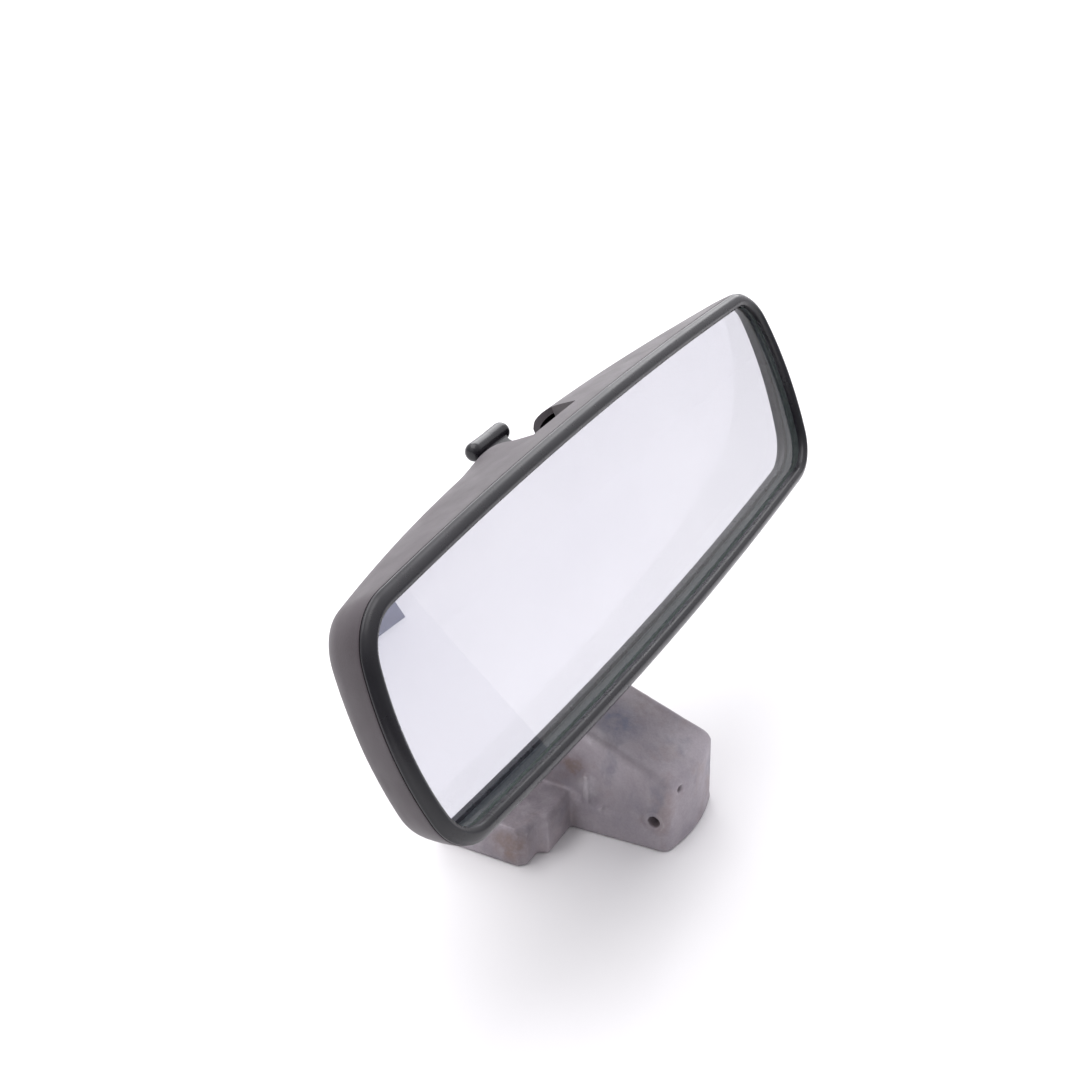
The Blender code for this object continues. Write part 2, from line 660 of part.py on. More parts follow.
def foot_base():
    """The T-shaped base with drafted sides: its ledge is lower than its shoulders."""
    levels = ((0, 0.0006), (0.06, 0), (0.88, 0.0010), (1, 0.0021))
    rings = [base_ring(inset, share) for share, inset in levels]
    bm = loft(rings, caps=False)
    bm.verts.ensure_lookup_table()
    count = len(rings[0])
    bm.faces.new(bm.verts[:count][::-1])
    top = bm.verts[-count:]
    ledge = len(FRONT_SHARES) + CORNER_STEPS + 2
    right, left = top[:ledge], top[-ledge:]
    bm.faces.new(left + right)
    bm.faces.new((top[ledge - 1], top[ledge], top[-ledge - 1], top[-ledge]))
    bm.faces.new(top[ledge:-ledge])
    return bm


def front_points(half, front, radius):
    """(x, y) points along the right half of the bowed front and round its corner."""
    reach = half - radius
    points = [(reach * share, front + FRONT_BOW * share ** 2) for share in FRONT_SHARES]
    start = atan2(2 * FRONT_BOW, reach) - pi / 2
    angles = [start * (1 - i / CORNER_STEPS) for i in range(CORNER_STEPS + 1)]
    middle = front + FRONT_BOW + radius
    return points + [(reach + radius * cos(a), middle + radius * sin(a)) for a in angles]


def wedge_ring(inset, back):
    right = front_points(WEDGE_HALF - inset, WEDGE_FRONT + inset, 0.0023)
    right.append((WEDGE_HALF - inset, back))
    return right + [(-x, y) for x, y in reversed(right)]


def wedge_body():
    """The wedge above the ledge, whose top rises towards the neck."""
    low = 0.0020
    rings = []
    for share, inset in ((0.0, 0.0), (0.93, 0.0003), (0.975, 0.0008), (1.0, 0.0019)):
        plan = wedge_ring(inset, 0.0340)
        rings.append([(x, y, low + (wedge_top(y) - low) * share) for x, y in plan])
    return add_object("fill_wedge", loft(rings), None)


def ball_place():
    return HEAD_CENTRE + Matrix.Rotation(HEAD_TILT, 3, "X") @ BALL


def neck_body():
    centre = ball_place()
    levels = [(0.009, 0.0135, 0.0085, 0.031), (0.028, 0.0128, 0.0088, 0.0310),
              (0.038, 0.0105, 0.0088, 0.0322), (0.046, 0.0082, 0.0080, centre.y),
              (NECK_TOP - 0.001, 0.0074, 0.0074, centre.y),
              (NECK_TOP, 0.0064, 0.0064, centre.y)]
    rings = [ellipse((0, y, z), rx, ry) for z, rx, ry, y in levels]
    return add_object("fill_neck", loft(rings), None)


def side_ribs():
    """Triangular ribs that carry the neck's load out to the shoulders."""
    ribs = []
    for side, sign in (("left", -1), ("right", 1)):
        points = [(sign * 0.004, 0.008), (sign * 0.037, 0.008), (sign * 0.037, 0.0125), (sign * 0.004, 0.042)]
        y = ball_place().y
        bm = loft([[(x, yy, z) for x, z in points] for yy in (y - 0.0018, y + 0.0018)])
        ribs.append(add_object("fill_side_rib_" + side, bm, None))
    return ribs


def corner_ribs():
    """Short upright ribs and a sloping foot where the tongue leaves the shoulders."""
    ribs = []
    for side, sign in (("left", -1), ("right", 1)):
        inner, outer = sign * 0.010, sign * (WEDGE_HALF + 0.0014)
        upright = [(0.0031, 0.0035), (0.0053, 0.0035), (0.0051, 0.0187), (0.0037, 0.0187)]
        bm = loft([[(x, *p) for p in upright] for x in (inner, outer)])
        ribs.append(add_object("fill_upright_rib_" + side, bm, None))
        slope = [(-0.0010, 0.001), (0.0100, 0.001), (0.0100, 0.0022), (-0.0010, 0.0098)]
        bm = loft([[(x, *p) for p in slope] for x in (inner, sign * (LEDGE_HALF + 0.0003))])
        ribs.append(add_object("fill_sloping_rib_" + side, bm, None))
    return ribs


def screw_bosses():
    bosses = []
    for side, sign in (("left", -1), ("right", 1)):
        bm = rod(0.0036, 0.008, WEDGE_HALF + 0.0004, (0, *BOSS), (sign, 0, 0), 18)
        bosses.append(add_object("fill_boss_" + side, bm, None))
    return bosses


def bottom_pockets():
    """Cored hollows in the underside, with webs between them."""
    pockets = []
    for side, sign in (("left", -1), ("right", 1)):
        spans = (("inner", 0.0150, 0.0250), ("outer", 0.0270, 0.0365))
        for name, near, far in spans:
            x0, x1 = sorted((sign * near, sign * far))
            bm = new_box((x0, 0.0145, -0.002), (x1, 0.0385, 0.0080))
            pockets.append(add_object("cut_pocket_" + name + "_" + side, bm, None))
        x0, x1 = sorted((sign * 0.0040, sign * 0.0118))
        bm = new_box((x0, -0.0180, -0.002), (x1, 0.0080, 0.0060))
        pockets.append(add_object("cut_tongue_pocket_" + side, bm, None))
    return pockets


def button_channel():
    """The slot that slides over the windscreen button: narrow mouth, wide slot, recess for the leaf."""
    end = FOOT_BACK + 0.004
    mouth = new_box((-0.0092, CHANNEL_START, -0.002), (0.0092, end, 0.0028))
    slot = new_box((-0.0118, CHANNEL_START, 0.0024), (0.0118, end, 0.0068))
    recess = new_box((-0.0062, CHANNEL_START + 0.0015, 0.0060), (0.0062, 0.0392, 0.0100))
    return [add_object("cut_channel_mouth", mouth, None), add_object("cut_channel_slot", slot, None),
            add_object("cut_leaf_recess", recess, None)]


def foot_bores():
    centre = ball_place()
    stud = rod(0.0038, 0.035, 0.060, (0, centre.y, 0), (0, 0, 1), 20)
    pin = rod(0.0015, -0.016, 0.016, (0, centre.y, PIN_HEIGHT), (1, 0, 0), 12)
    place = (WITNESS_HOLE[0], WEDGE_FRONT, WITNESS_HOLE[1])
    witness = rod(0.0011, -0.002, 0.0042, place, (0, 1, 0), 12)
    bores = [add_object("cut_stud_bore", stud, None), add_object("cut_pin_bore", pin, None),
             add_object("cut_witness_hole", witness, None)]
    for name, y in CLIP_SCREWS:
        bm = rod(0.0012, 0.009, 0.0168, (0, y, 0), (0, 0, 1), 12)
        bores.append(add_object("cut_clip_thread_" + name, bm, None))
    for side, sign in (("left", -1), ("right", 1)):
        bm = rod(0.0018, 0.0090, 0.020, (0, *BOSS), (sign, 0, 0), 14)
        bores.append(add_object("cut_boss_hole_" + side, bm, None))
    return bores


def make_stud():
    """Ball, shank and collar in one turning, with a cross hole for its pin."""
    centre = ball_place()
    shank = 0.0042
    steps = 10
    start = acos(shank / BALL_RADIUS)
    ball = [(BALL_RADIUS * cos(a), BALL_RADIUS * sin(a)) for a in
            [-start + (pi / 2 + start) * i / steps for i in range(steps)]]
    top = centre.z
    collar = NECK_TOP + GAP
    profile = [(0, 0.0362), (0.0028, 0.0362), (0.0035, 0.0369), (0.0035, collar), (0.0066, collar),
               (0.0070, collar + 0.0004), (0.0070, collar + 0.0016), (0.0066, collar + 0.0020),
               (shank, collar + 0.0024)]
    profile += [(r, top + h) for r, h in ball] + [(0, top + BALL_RADIUS)]
    stud = add_object("ball_stud", turned(profile, (0, centre.y, 0), (0, 0, 1), 24), None, BRIGHT_STEEL)
    hole = rod(0.0015, -0.006, 0.006, (0, centre.y, PIN_HEIGHT), (1, 0, 0), 12)
    cut(stud, add_object("cut_stud_pin_hole", hole, None))
    pin = rod(0.00135, -0.0078, 0.0078, (0, centre.y, PIN_HEIGHT), (1, 0, 0), 12)
    add_object("stud_roll_pin", pin, None, DARK_STEEL)
    return stud


def make_clip():
    """The leaf: flat at its screwed ends, bowed down into the slot between them."""
    thick = 0.0008
    seat = 0.0100 - GAP
    half = 0.0055
    start, end = CHANNEL_START + 0.0022, 0.0386
    bow = [(start, 0), (0.0202, 0), (0.0226, 0.0016), (0.0265, 0.0026), (0.0304, 0.0016),
           (0.0328, 0), (end, 0)]
    upper = [(y, seat - drop) for y, drop in bow]
    lower = [(y, seat - thick - drop) for y, drop in reversed(bow)]
    clip = add_object("button_spring_clip", prism_x(upper + lower, half), None, BRIGHT_STEEL)
    for name, y in CLIP_SCREWS:
        hole = rod(0.0013, 0.006, 0.012, (0, y, 0), (0, 0, 1), 12)
        cut(clip, add_object("cut_clip_hole_" + name, hole, None))
        make_screw("clip_screw_" + name, (0, y, 0), (0, 0, -1), -(seat - thick - GAP), 0.0070, 0.0010, 0.0020)


def main():
    clear_scene()
    ball = Group("ball_joint", BALL)
    head = Group("tip_joint", (0, *PIVOT), ball)
    flip = Group("lever_joint", (0, *AXLE), head)
    make_foot()
    make_stud()
    make_clip()
    cup("ball_liner", BALL_RADIUS + GAP, 0.0089, radians(46), ball, WHITE_NYLON)
    cup("pressure_cup", 0.0092, 0.0101, radians(54), ball, BRIGHT_STEEL)
    make_socket(ball)
    make_bracket(ball)
    make_bumpers(ball)
    make_housing(head)
    make_bezel(head)
    make_glass(head)
    make_pad(head)
    make_rod(head)
    make_toggle_spring(head)
    make_lever(head, flip)


main()
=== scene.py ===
"""Looks of the interior rearview mirror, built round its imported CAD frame.

Head pieces are drawn in the head's own frame: u along the mirror, v across the glass towards the
lever, w out of the glass. The foot is drawn in the frame's X, Y and Z.
"""
import json
from math import acos, atan2, cos, exp, hypot, pi, radians, sin, tan

import bmesh
import bpy
from mathutils import Matrix, Vector, noise


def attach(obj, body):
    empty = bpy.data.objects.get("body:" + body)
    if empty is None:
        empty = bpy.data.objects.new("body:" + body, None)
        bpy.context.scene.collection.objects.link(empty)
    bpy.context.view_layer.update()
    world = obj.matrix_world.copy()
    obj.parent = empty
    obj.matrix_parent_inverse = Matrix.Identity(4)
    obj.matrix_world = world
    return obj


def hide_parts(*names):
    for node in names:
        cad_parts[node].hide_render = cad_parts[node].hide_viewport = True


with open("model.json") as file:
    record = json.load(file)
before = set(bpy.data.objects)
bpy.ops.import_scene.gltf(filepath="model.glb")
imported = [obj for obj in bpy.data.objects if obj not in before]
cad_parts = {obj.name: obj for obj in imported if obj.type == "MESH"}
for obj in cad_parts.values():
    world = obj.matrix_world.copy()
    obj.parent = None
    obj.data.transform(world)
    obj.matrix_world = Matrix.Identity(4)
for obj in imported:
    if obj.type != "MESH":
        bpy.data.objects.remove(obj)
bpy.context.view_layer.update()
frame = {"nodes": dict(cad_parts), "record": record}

# ---- the head's frame and outline, in metres and radians, as in the CAD ----
GAP = 0.0003
SHARP_ANGLE = radians(38)
HEAD_CENTRE = Vector((0, 0, 0.0942))
HEAD_TILT = radians(90 - 24.35)
TO_WORLD = Matrix.Translation(HEAD_CENTRE) @ Matrix.Rotation(HEAD_TILT, 4, "X")
HALF_LENGTH, HALF_HEIGHT = 0.1154, 0.0310
LONG_EDGE_RADIUS, END_RADIUS, CORNER_RADIUS = 1.816, 0.0785, 0.0120
GLASS_FRONT, GLASS_GROW, GLASS_THICK, GLASS_THIN = -0.0015, 0.0012, 0.0061, 0.0024
SEAM, WALL, HOUSING_GROW = -0.0016, 0.0016, 0.0044
DEPTH_MIDDLE, DEPTH_END, DEPTH_POWER = 0.0322, 0.0147, 1.86
SKIN = ((0, 0.0003), (0.012, 0), (0.16, 0.0003), (0.33, 0.0008), (0.51, 0.0015), (0.66, 0.0022),
        (0.79, 0.0031), (0.885, 0.0042), (0.96, 0.0057), (1.0, 0.0076))
BACK_REACH, BACK_CROWN = 0.0814, 0.0006
BEZEL_FACE = ((0, -0.0012), (0, -0.0002), (0.0003, 0.0005), (0.0009, 0.0010), (0.0016, 0.0012),
              (0.0025, 0.0009), (0.0033, 0.0003), (0.0039, -0.0004), (0.0043, -0.0009),
              (0.0043, -0.0013))
BEZEL_SKIRT = ((0.0021, -0.0013), (0.0021, -0.0040), (0.0015, -0.0040), (0.0015, -0.0012))
PIVOT, AXLE = (-0.018, -0.0207), (0.020, -0.0220)
PLATE_THICK = 0.0014
TAB_REACH, TAB_ANGLE = 0.0173, radians(-45)
TIP_TRAVEL, LEVER_RATIO = radians(4.25), 8

# ---- ball joint and foot ----
BALL = Vector((0, -0.008, -0.040))
BALL_RADIUS, SOCKET_INNER, SOCKET_OUTER = 0.0075, 0.0104, 0.0130
MOUTH_ANGLE = radians(61)
EAR_U = 0.0165
RIVET = (0.0125, 0.0040)
DOWN = Vector((0, -sin(HEAD_TILT), -cos(HEAD_TILT)))
BACK = Vector((0, cos(HEAD_TILT), -sin(HEAD_TILT)))
BALL_PLACE = TO_WORLD @ BALL
SHOULDER_HALF, SHOULDER_TOP, STEP_HALF = 0.0412, 0.0115, 0.0320
SHOULDER_FRONT, STEP_FRONT, FOOT_BACK = 0.0110, 0.0080, 0.0420
LEDGE_TOP, LEDGE_HALF, TONGUE_HALF, TONGUE_FRONT = 0.0092, 0.0162, 0.0180, -0.0243
FRONT_BOW, FRONT_STEPS, CORNER_STEPS = 0.0017, 6, 7
WEDGE_HALF, WEDGE_FRONT, WEDGE_TOP, WEDGE_RISE = 0.0153, -0.0240, 0.0223, 0.355
WITNESS_HOLE = (-0.0100, 0.0197)
BOSS = (-0.0172, 0.0098)
NECK_TOP = 0.0530
CHANNEL_START = 0.0120
PIN_HEIGHT = 0.0450


# ---- mesh helpers ----
def add_object(name, bm, in_head=False, smooth=True):
    bmesh.ops.remove_doubles(bm, verts=bm.verts, dist=1e-6)
    bmesh.ops.recalc_face_normals(bm, faces=bm.faces)
    if in_head:
        bmesh.ops.transform(bm, matrix=TO_WORLD, verts=bm.verts)
    mesh = bpy.data.meshes.new(name)
    bm.to_mesh(mesh)
    bm.free()
    obj = bpy.data.objects.new(name, mesh)
    bpy.context.scene.collection.objects.link(obj)
    if smooth:
        mesh.shade_smooth()
        mesh.set_sharp_from_angle(angle=SHARP_ANGLE)
    return obj


def bake(obj):
    """Turn an object's modifiers into its mesh."""
    graph = bpy.context.evaluated_depsgraph_get()
    mesh = bpy.data.meshes.new_from_object(obj.evaluated_get(graph))
    obj.modifiers.clear()
    obj.data = mesh
    mesh.shade_smooth()
    return obj


def carve(obj, joins=(), cuts=()):
    """Join solids to an object and cut others from it, then remove them."""
    for tool, operation in [(t, "UNION") for t in joins] + [(t, "DIFFERENCE") for t in cuts]:
        mod = obj.modifiers.new(tool.name, "BOOLEAN")
        mod.object, mod.operation, mod.solver = tool, operation, "EXACT"
        bake(obj)
        bpy.data.objects.remove(tool, do_unlink=True)
    obj.data.set_sharp_from_angle(angle=SHARP_ANGLE)
    return obj


def soften(obj, voxel, rounds):
    """Even out a carved solid into small squares and relax them, which rounds its edges."""
    mod = obj.modifiers.new("even", "REMESH")
    mod.mode, mod.voxel_size = "VOXEL", voxel
    relax = obj.modifiers.new("relax", "SMOOTH")
    relax.factor, relax.iterations = 0.5, rounds
    return bake(obj)


def box(low, high):
    """A box between two corners."""
    bm = bmesh.new()
    size = [b - a for a, b in zip(low, high)]
    middle = [(a + b) / 2 for a, b in zip(low, high)]
    bmesh.ops.create_cube(bm, size=1, matrix=Matrix.Translation(middle) @ Matrix.Diagonal((*size, 1)))
    return bm


def loft(sections, caps=True, closed=False):
    """Skin rings that have the same number of points. A closed loft joins its last ring to its first."""
    bm = bmesh.new()
    rings = [[bm.verts.new(p) for p in section] for section in sections]
    pairs = list(zip(rings, rings[1:])) + ([(rings[-1], rings[0])] if closed else [])
    count = len(rings[0])
    for lower, upper in pairs:
        for i in range(count):
            j = (i + 1) % count
            bm.faces.new((lower[i], lower[j], upper[j], upper[i]))
    if caps and not closed:
        bm.faces.new(rings[0][::-1])
        bm.faces.new(rings[-1])
    return bm


def axis_matrix(centre, axis):
    turn = Vector((0, 0, 1)).rotation_difference(Vector(axis).normalized())
    return Matrix.Translation(centre) @ turn.to_matrix().to_4x4()


def turned(profile, centre, axis, steps=72):
    """Turn (radius, height) points about an axis. A profile that starts and ends on it is capped."""
    bm = bmesh.new()
    rings = []
    for radius, height in profile:
        count = steps if radius else 1
        angles = [2 * pi * i / steps for i in range(count)]
        rings.append([bm.verts.new((radius * cos(a), radius * sin(a), height)) for a in angles])
    hollow = len(rings[0]) > 1
    for lower, upper in list(zip(rings, rings[1:])) + ([(rings[-1], rings[0])] if hollow else []):
        if len(lower) + len(upper) == 2:
            continue
        for i in range(steps):
            j = (i + 1) % steps
            corners = [lower[i % len(lower)], lower[j % len(lower)]]
            corners += [upper[j % len(upper)], upper[i % len(upper)]]
            bm.faces.new(list(dict.fromkeys(corners)))
    bmesh.ops.transform(bm, matrix=axis_matrix(centre, axis), verts=bm.verts)
    return bm


def rod(radius, low, high, centre, axis, steps=48):
    """A round bar from low to high along an axis."""
    return turned([(0, low), (radius, low), (radius, high), (0, high)], centre, axis, steps)


def prism_u(points, half_width):
    """A (v, w) outline drawn out both ways along u."""
    return loft([[(x, *p) for p in points] for x in (-half_width, half_width)])


def spline(points, steps):
    """A smooth curve through the points (Catmull-Rom), with steps spans between each two."""
    ends = [points[0]] + list(points) + [points[-1]]
    curve = []
    for a, b, c, d in zip(ends, ends[1:], ends[2:], ends[3:]):
        for i in range(steps):
            t = i / steps
            curve.append(tuple(
                0.5 * (2 * q + (r - p) * t + (2 * p - 5 * q + 4 * r - s) * t ** 2
                       + (3 * q - p - 3 * r + s) * t ** 3) for p, q, r, s in zip(a, b, c, d)))
    return curve + [points[-1]]


# ---- mirror head ----
def outline(grow, end_steps=14, corner_steps=14, long_steps=56):
    """The opening's outline, grown outwards: tangent arcs for the ends, corners and long edges."""
    end_centre, long_centre = HALF_LENGTH - END_RADIUS, HALF_HEIGHT - LONG_EDGE_RADIUS
    reach_end, reach_long = END_RADIUS - CORNER_RADIUS, LONG_EDGE_RADIUS - CORNER_RADIUS
    apart = hypot(end_centre, long_centre)
    spread = acos((reach_end ** 2 + apart ** 2 - reach_long ** 2) / (2 * reach_end * apart))
    turn = atan2(long_centre, -end_centre) + spread
    corner = (end_centre + reach_end * cos(turn), reach_end * sin(turn))
    end_angle = atan2(corner[1], corner[0] - end_centre)
    long_angle = atan2(corner[1] - long_centre, corner[0])
    arcs = [((end_centre, 0), END_RADIUS, 0, end_angle, end_steps),
            (corner, CORNER_RADIUS, end_angle, long_angle, corner_steps),
            ((0, long_centre), LONG_EDGE_RADIUS, long_angle, pi / 2, long_steps)]
    quarter = []
    for (cu, cv), radius, start, stop, steps in arcs:
        for i in range(steps):
            a = start + (stop - start) * i / steps
            quarter.append((cu + (radius + grow) * cos(a), cv + (radius + grow) * sin(a)))
    right = quarter + [(0, HALF_HEIGHT + grow)]
    upper = right + [(-u, v) for u, v in reversed(quarter)]
    return upper + [(u, -v) for u, v in reversed(upper[1:-1])]


def housing_depth(u):
    """How far the housing reaches behind the glass plane; it is deepest in the middle."""
    share = min(abs(u) / HALF_LENGTH, 1)
    return DEPTH_MIDDLE - (DEPTH_MIDDLE - DEPTH_END) * share ** DEPTH_POWER


def housing_skin(wall, steps):
    """Rings from the seam to the back, set in by the wall's thickness for the inside."""
    rings = []
    for share, inset in spline(SKIN, steps):
        flat = outline(HOUSING_GROW - wall - inset)
        rings.append([(u, v, SEAM - share * (housing_depth(u) - wall + SEAM)) for u, v in flat])
    rim = rings[-1]
    for share in (0.12, 0.3, 0.5, 0.7, 0.85, 0.95):
        inner = []
        for u, v, _ in rim:
            nu = u + (max(-BACK_REACH, min(BACK_REACH, u)) - u) * share
            inner.append((nu, v * (1 - share), wall - housing_depth(nu) - BACK_CROWN * share))
        rings.append(inner)
    return rings


def close_middle(bm, verts):
    """Close the last ring with a strip of faces across the mirror's long axis."""
    half = len(verts) // 2
    for i in range(half):
        a, b = verts[i], verts[i + 1]
        c, d = verts[-(i + 1) % len(verts)], verts[-i % len(verts)]
        bm.faces.new(list(dict.fromkeys((a, b, c, d))))


# The finger scoop in front of the lever: (v, w) points, each with its left and right end.
SCOOP = (((0.0349, -0.0094), -0.0128, 0.0118), ((0.0280, -0.0226), -0.0096, 0.0185),
         ((0.0450, -0.0226), -0.0096, 0.0185), ((0.0450, -0.0094), -0.0128, 0.0118))
SCOOP_BOWL = (((0.0334, -0.0076), -0.0146, 0.0136), ((0.0262, -0.0224), -0.0114, 0.0203),
              ((0.0322, -0.0224), -0.0114, 0.0203), ((0.0340, -0.0076), -0.0146, 0.0136))
SLOT = ((0.0236, -0.050), (0.0236, -0.0262), (0.0256, -0.0225), (0.045, -0.0225), (0.045, -0.050))
SLOT_ENDS = (-0.0100, 0.0190)
SWELL_CENTRE, SWELL_REACH, SWELL_HEIGHT = (-0.0125, -0.0270), (0.0085, 0.0065), 0.0013


def between_ends(shape):
    """The solid between a shape's left ends and its right ends."""
    return loft([[(left, *p) for p, left, _ in shape], [(right, *p) for p, _, right in shape]])


def swelling(u, v, w):
    """The wall stands a little proud beside the lever's slot."""
    across = (u - SWELL_CENTRE[0]) / SWELL_REACH[0]
    along = (w - SWELL_CENTRE[1]) / SWELL_REACH[1]
    return u, v + (SWELL_HEIGHT * exp(-across ** 2 - along ** 2) if v > 0 else 0), w


def make_housing():
    """The shell with its scoop, inner lugs and ribs, and the openings for the socket and the lever."""
    outer, inner = housing_skin(0, 4), housing_skin(WALL, 2)
    outer = [[swelling(*point) for point in ring] for ring in outer]
    bm = loft(inner[::-1] + outer, caps=False)
    bm.verts.ensure_lookup_table()
    count = len(outer[0])
    close_middle(bm, bm.verts[:count])
    close_middle(bm, bm.verts[-count:])
    shell = add_object("housing_shell", bm, True)
    joins = [add_object("bowl", between_ends(SCOOP_BOWL), True)]
    pv, pw = PIVOT
    av, aw = AXLE
    for sign in (-1, 1):
        u0, u1 = sorted((sign * 0.030, sign * 0.034))
        low = (u0, pv - 0.004, WALL / 2 - housing_depth(0.034))
        joins.append(add_object("rod_lug", box(low, (u1, pv + 0.004, pw + 0.0042)), True))
        u0, u1 = sorted((sign * 0.0175, sign * 0.0215))
        low = (u0, av - 0.0045, WALL / 2 - housing_depth(0.0215))
        joins.append(add_object("axle_lug", box(low, (u1, av + 0.0035, aw + 0.0062)), True))
        for u in (0.056, 0.092):
            low = (sign * u - 0.0008, -0.018, WALL / 2 - housing_depth(u + 0.001))
            joins.append(add_object("rib", box(low, (sign * u + 0.0008, 0.018, -0.0084)), True))
    ring = [(0.0150 * cos(a), BALL.y + 0.0155 * sin(a)) for a in
            [2 * pi * i / 64 for i in range(64)]]
    opening = loft([[(u, v, w) for u, v in ring] for w in (-0.038, -0.026)])
    cuts = [add_object("socket_opening", opening, True),
            add_object("scoop", between_ends(SCOOP), True),
            add_object("slot", loft([[(u, *p) for p in SLOT] for u in SLOT_ENDS]), True),
            add_object("rod_bore", rod(0.0016, -0.040, 0.040, (0, *PIVOT), (1, 0, 0)), True),
            add_object("axle_bore", rod(0.0013, -0.024, 0.024, (0, *AXLE), (1, 0, 0)), True),
            add_object("spring_slot", box((-0.024, av - 0.0012, aw + 0.0032),
                                          (0.024, av + 0.0030, aw + 0.0045)), True)]
    return carve(shell, joins, cuts)


def make_bezel():
    """The bezel: a rounded face and the skirt that reaches behind the glass."""
    face = spline(BEZEL_FACE, 5)
    rings = [[(u, v, w) for u, v in outline(grow)] for grow, w in face + list(BEZEL_SKIRT)]
    return add_object("bezel_ring", loft(rings, closed=True), True)


def glass_back(v):
    """The silvered face's w; the prism is thinner towards the lever."""
    edge, middle = HALF_HEIGHT + GLASS_GROW, (GLASS_THICK + GLASS_THIN) / 2
    return GLASS_FRONT - middle + (GLASS_THICK - GLASS_THIN) / 2 * v / edge


def make_glass():
    """The prism: clear front, ground edge with a small bevel each side, silvered back."""
    bevel = 0.0004
    flat, small = outline(GLASS_GROW), outline(GLASS_GROW - bevel)
    rings = [[(u, v, glass_back(v)) for u, v in small], [(u, v, glass_back(v) + bevel) for u, v in flat],
             [(u, v, GLASS_FRONT - bevel) for u, v in flat], [(u, v, GLASS_FRONT) for u, v in small]]
    glass = add_object("prism_glass", loft(rings), True, smooth=False)
    normal = TO_WORLD.to_3x3() @ Vector((0, 0, 1))
    for slot in (glass_clear(), glass_silver(), glass_ground()):
        glass.data.materials.append(slot)
    for face in glass.data.polygons:
        facing = face.normal.dot(normal)
        face.material_index = 0 if facing > 0.9 else 1 if facing < -0.9 else 2
    return glass


def make_lever():
    """Hub with a forked cam, a curved arm and a rounded T-bar, drawn at mid travel and turned back."""
    centre = Vector((0, *AXLE))
    av, aw = AXLE
    lever = add_object("lever_moulding", rod(0.0032, -0.0165, 0.0165, centre, (1, 0, 0)), True)
    back = (Matrix.Translation(centre) @ Matrix.Rotation(-TIP_TRAVEL * LEVER_RATIO / 2, 4, "X")
            @ Matrix.Translation(-centre))
    joins = []
    for sign in (-1, 1):
        tooth = [(av - 0.0010, aw + sign * 0.0012), (av - 0.0030, aw + sign * 0.00135),
                 (av - 0.0064, aw + sign * 0.0018), (av - 0.0064, aw + sign * 0.0026),
                 (av - 0.0010, aw + sign * 0.0029)]
        bm = prism_u(tooth, 0.0100)
        bmesh.ops.transform(bm, matrix=back, verts=bm.verts)
        joins.append(add_object("tooth", bm, True))
    reach = Vector((0, cos(TAB_ANGLE), sin(TAB_ANGLE)))
    across = Vector((0, -sin(TAB_ANGLE), cos(TAB_ANGLE)))
    arm = []
    for share, half_u, half_t in ((0, 0.0052, 0.0017), (0.45, 0.0050, 0.0014), (0.8, 0.0052, 0.0013),
                                  (1, 0.0056, 0.0014)):
        mid = centre + reach * (0.0018 + share * (TAB_REACH - 0.0028))
        side = Vector((half_u, 0, 0))
        arm.append([mid - side - across * half_t, mid + side - across * half_t,
                    mid + side + across * half_t, mid - side + across * half_t])
    joins.append(add_object("arm", loft(arm), True))
    joins.append(add_object("tab", tab_body(centre + reach * TAB_REACH), True))
    bore = add_object("bore", rod(0.0013, -0.018, 0.018, centre, (1, 0, 0)), True)
    return soften(carve(lever, joins, [bore]), 0.00025, 4)


def tab_body(centre):
    """The T-bar: a bar with full round ends, slightly thicker at its ends than in its middle."""
    half, radius, steps = 0.0097, 0.0028, 12
    profile = [(0, -half)]
    for i in range(1, steps + 1):
        a = pi / 2 * i / steps
        profile.append((radius * sin(a) ** 0.8, -half + 0.0026 * (1 - cos(a))))
    profile += [(radius - 0.00012, 0)] + [(r, -h) for r, h in reversed(profile[1:])] + [(0, half)]
    return turned(profile, centre, (1, 0, 0), 48)


# ---- ball joint ----
def sphere(radius):
    """A ball round the joint's centre, with its poles on the stud's line."""
    steps = 36
    side = [(radius * sin(pi * i / steps), -radius * cos(pi * i / steps)) for i in range(1, steps)]
    return turned([(0, -radius)] + side + [(0, radius)], BALL, DOWN)


def split_frame():
    """Axes of the plane where the two socket halves meet."""
    across = BACK.cross(Vector((1, 0, 0)))
    return Matrix((Vector((1, 0, 0)), across, BACK)).transposed().to_4x4()


def ear(sign, low, high):
    """A screw ear with a round end."""
    radius = 0.0042
    end = rod(radius, low, high, (sign * EAR_U, 0, 0), (0, 0, 1))
    web = box((min(0, sign * EAR_U), -radius, low), (max(0, sign * EAR_U), radius, high))
    for piece in (end, web):
        bmesh.ops.transform(piece, matrix=Matrix.Translation(BALL) @ split_frame(), verts=piece.verts)
    return [add_object("ear_end", end, True), add_object("ear_web", web, True)]


def half_space(offset, sign):
    """A block that fills one side of the plane where the socket halves meet."""
    size = 0.030
    low, high = sorted((offset, offset + sign * size))
    bm = box((-size, -size, low), (size, size, high))
    bmesh.ops.transform(bm, matrix=Matrix.Translation(BALL) @ split_frame(), verts=bm.verts)
    return add_object("half_space", bm, True)


def mouth():
    """The cone that leaves room for the stud to swing."""
    start, reach = 0.0006, 0.022
    spread = tan(MOUTH_ANGLE)
    profile = [(0, start), (start * spread, start), (reach * spread, reach), (0, reach)]
    return add_object("mouth", turned(profile, BALL, DOWN), True)


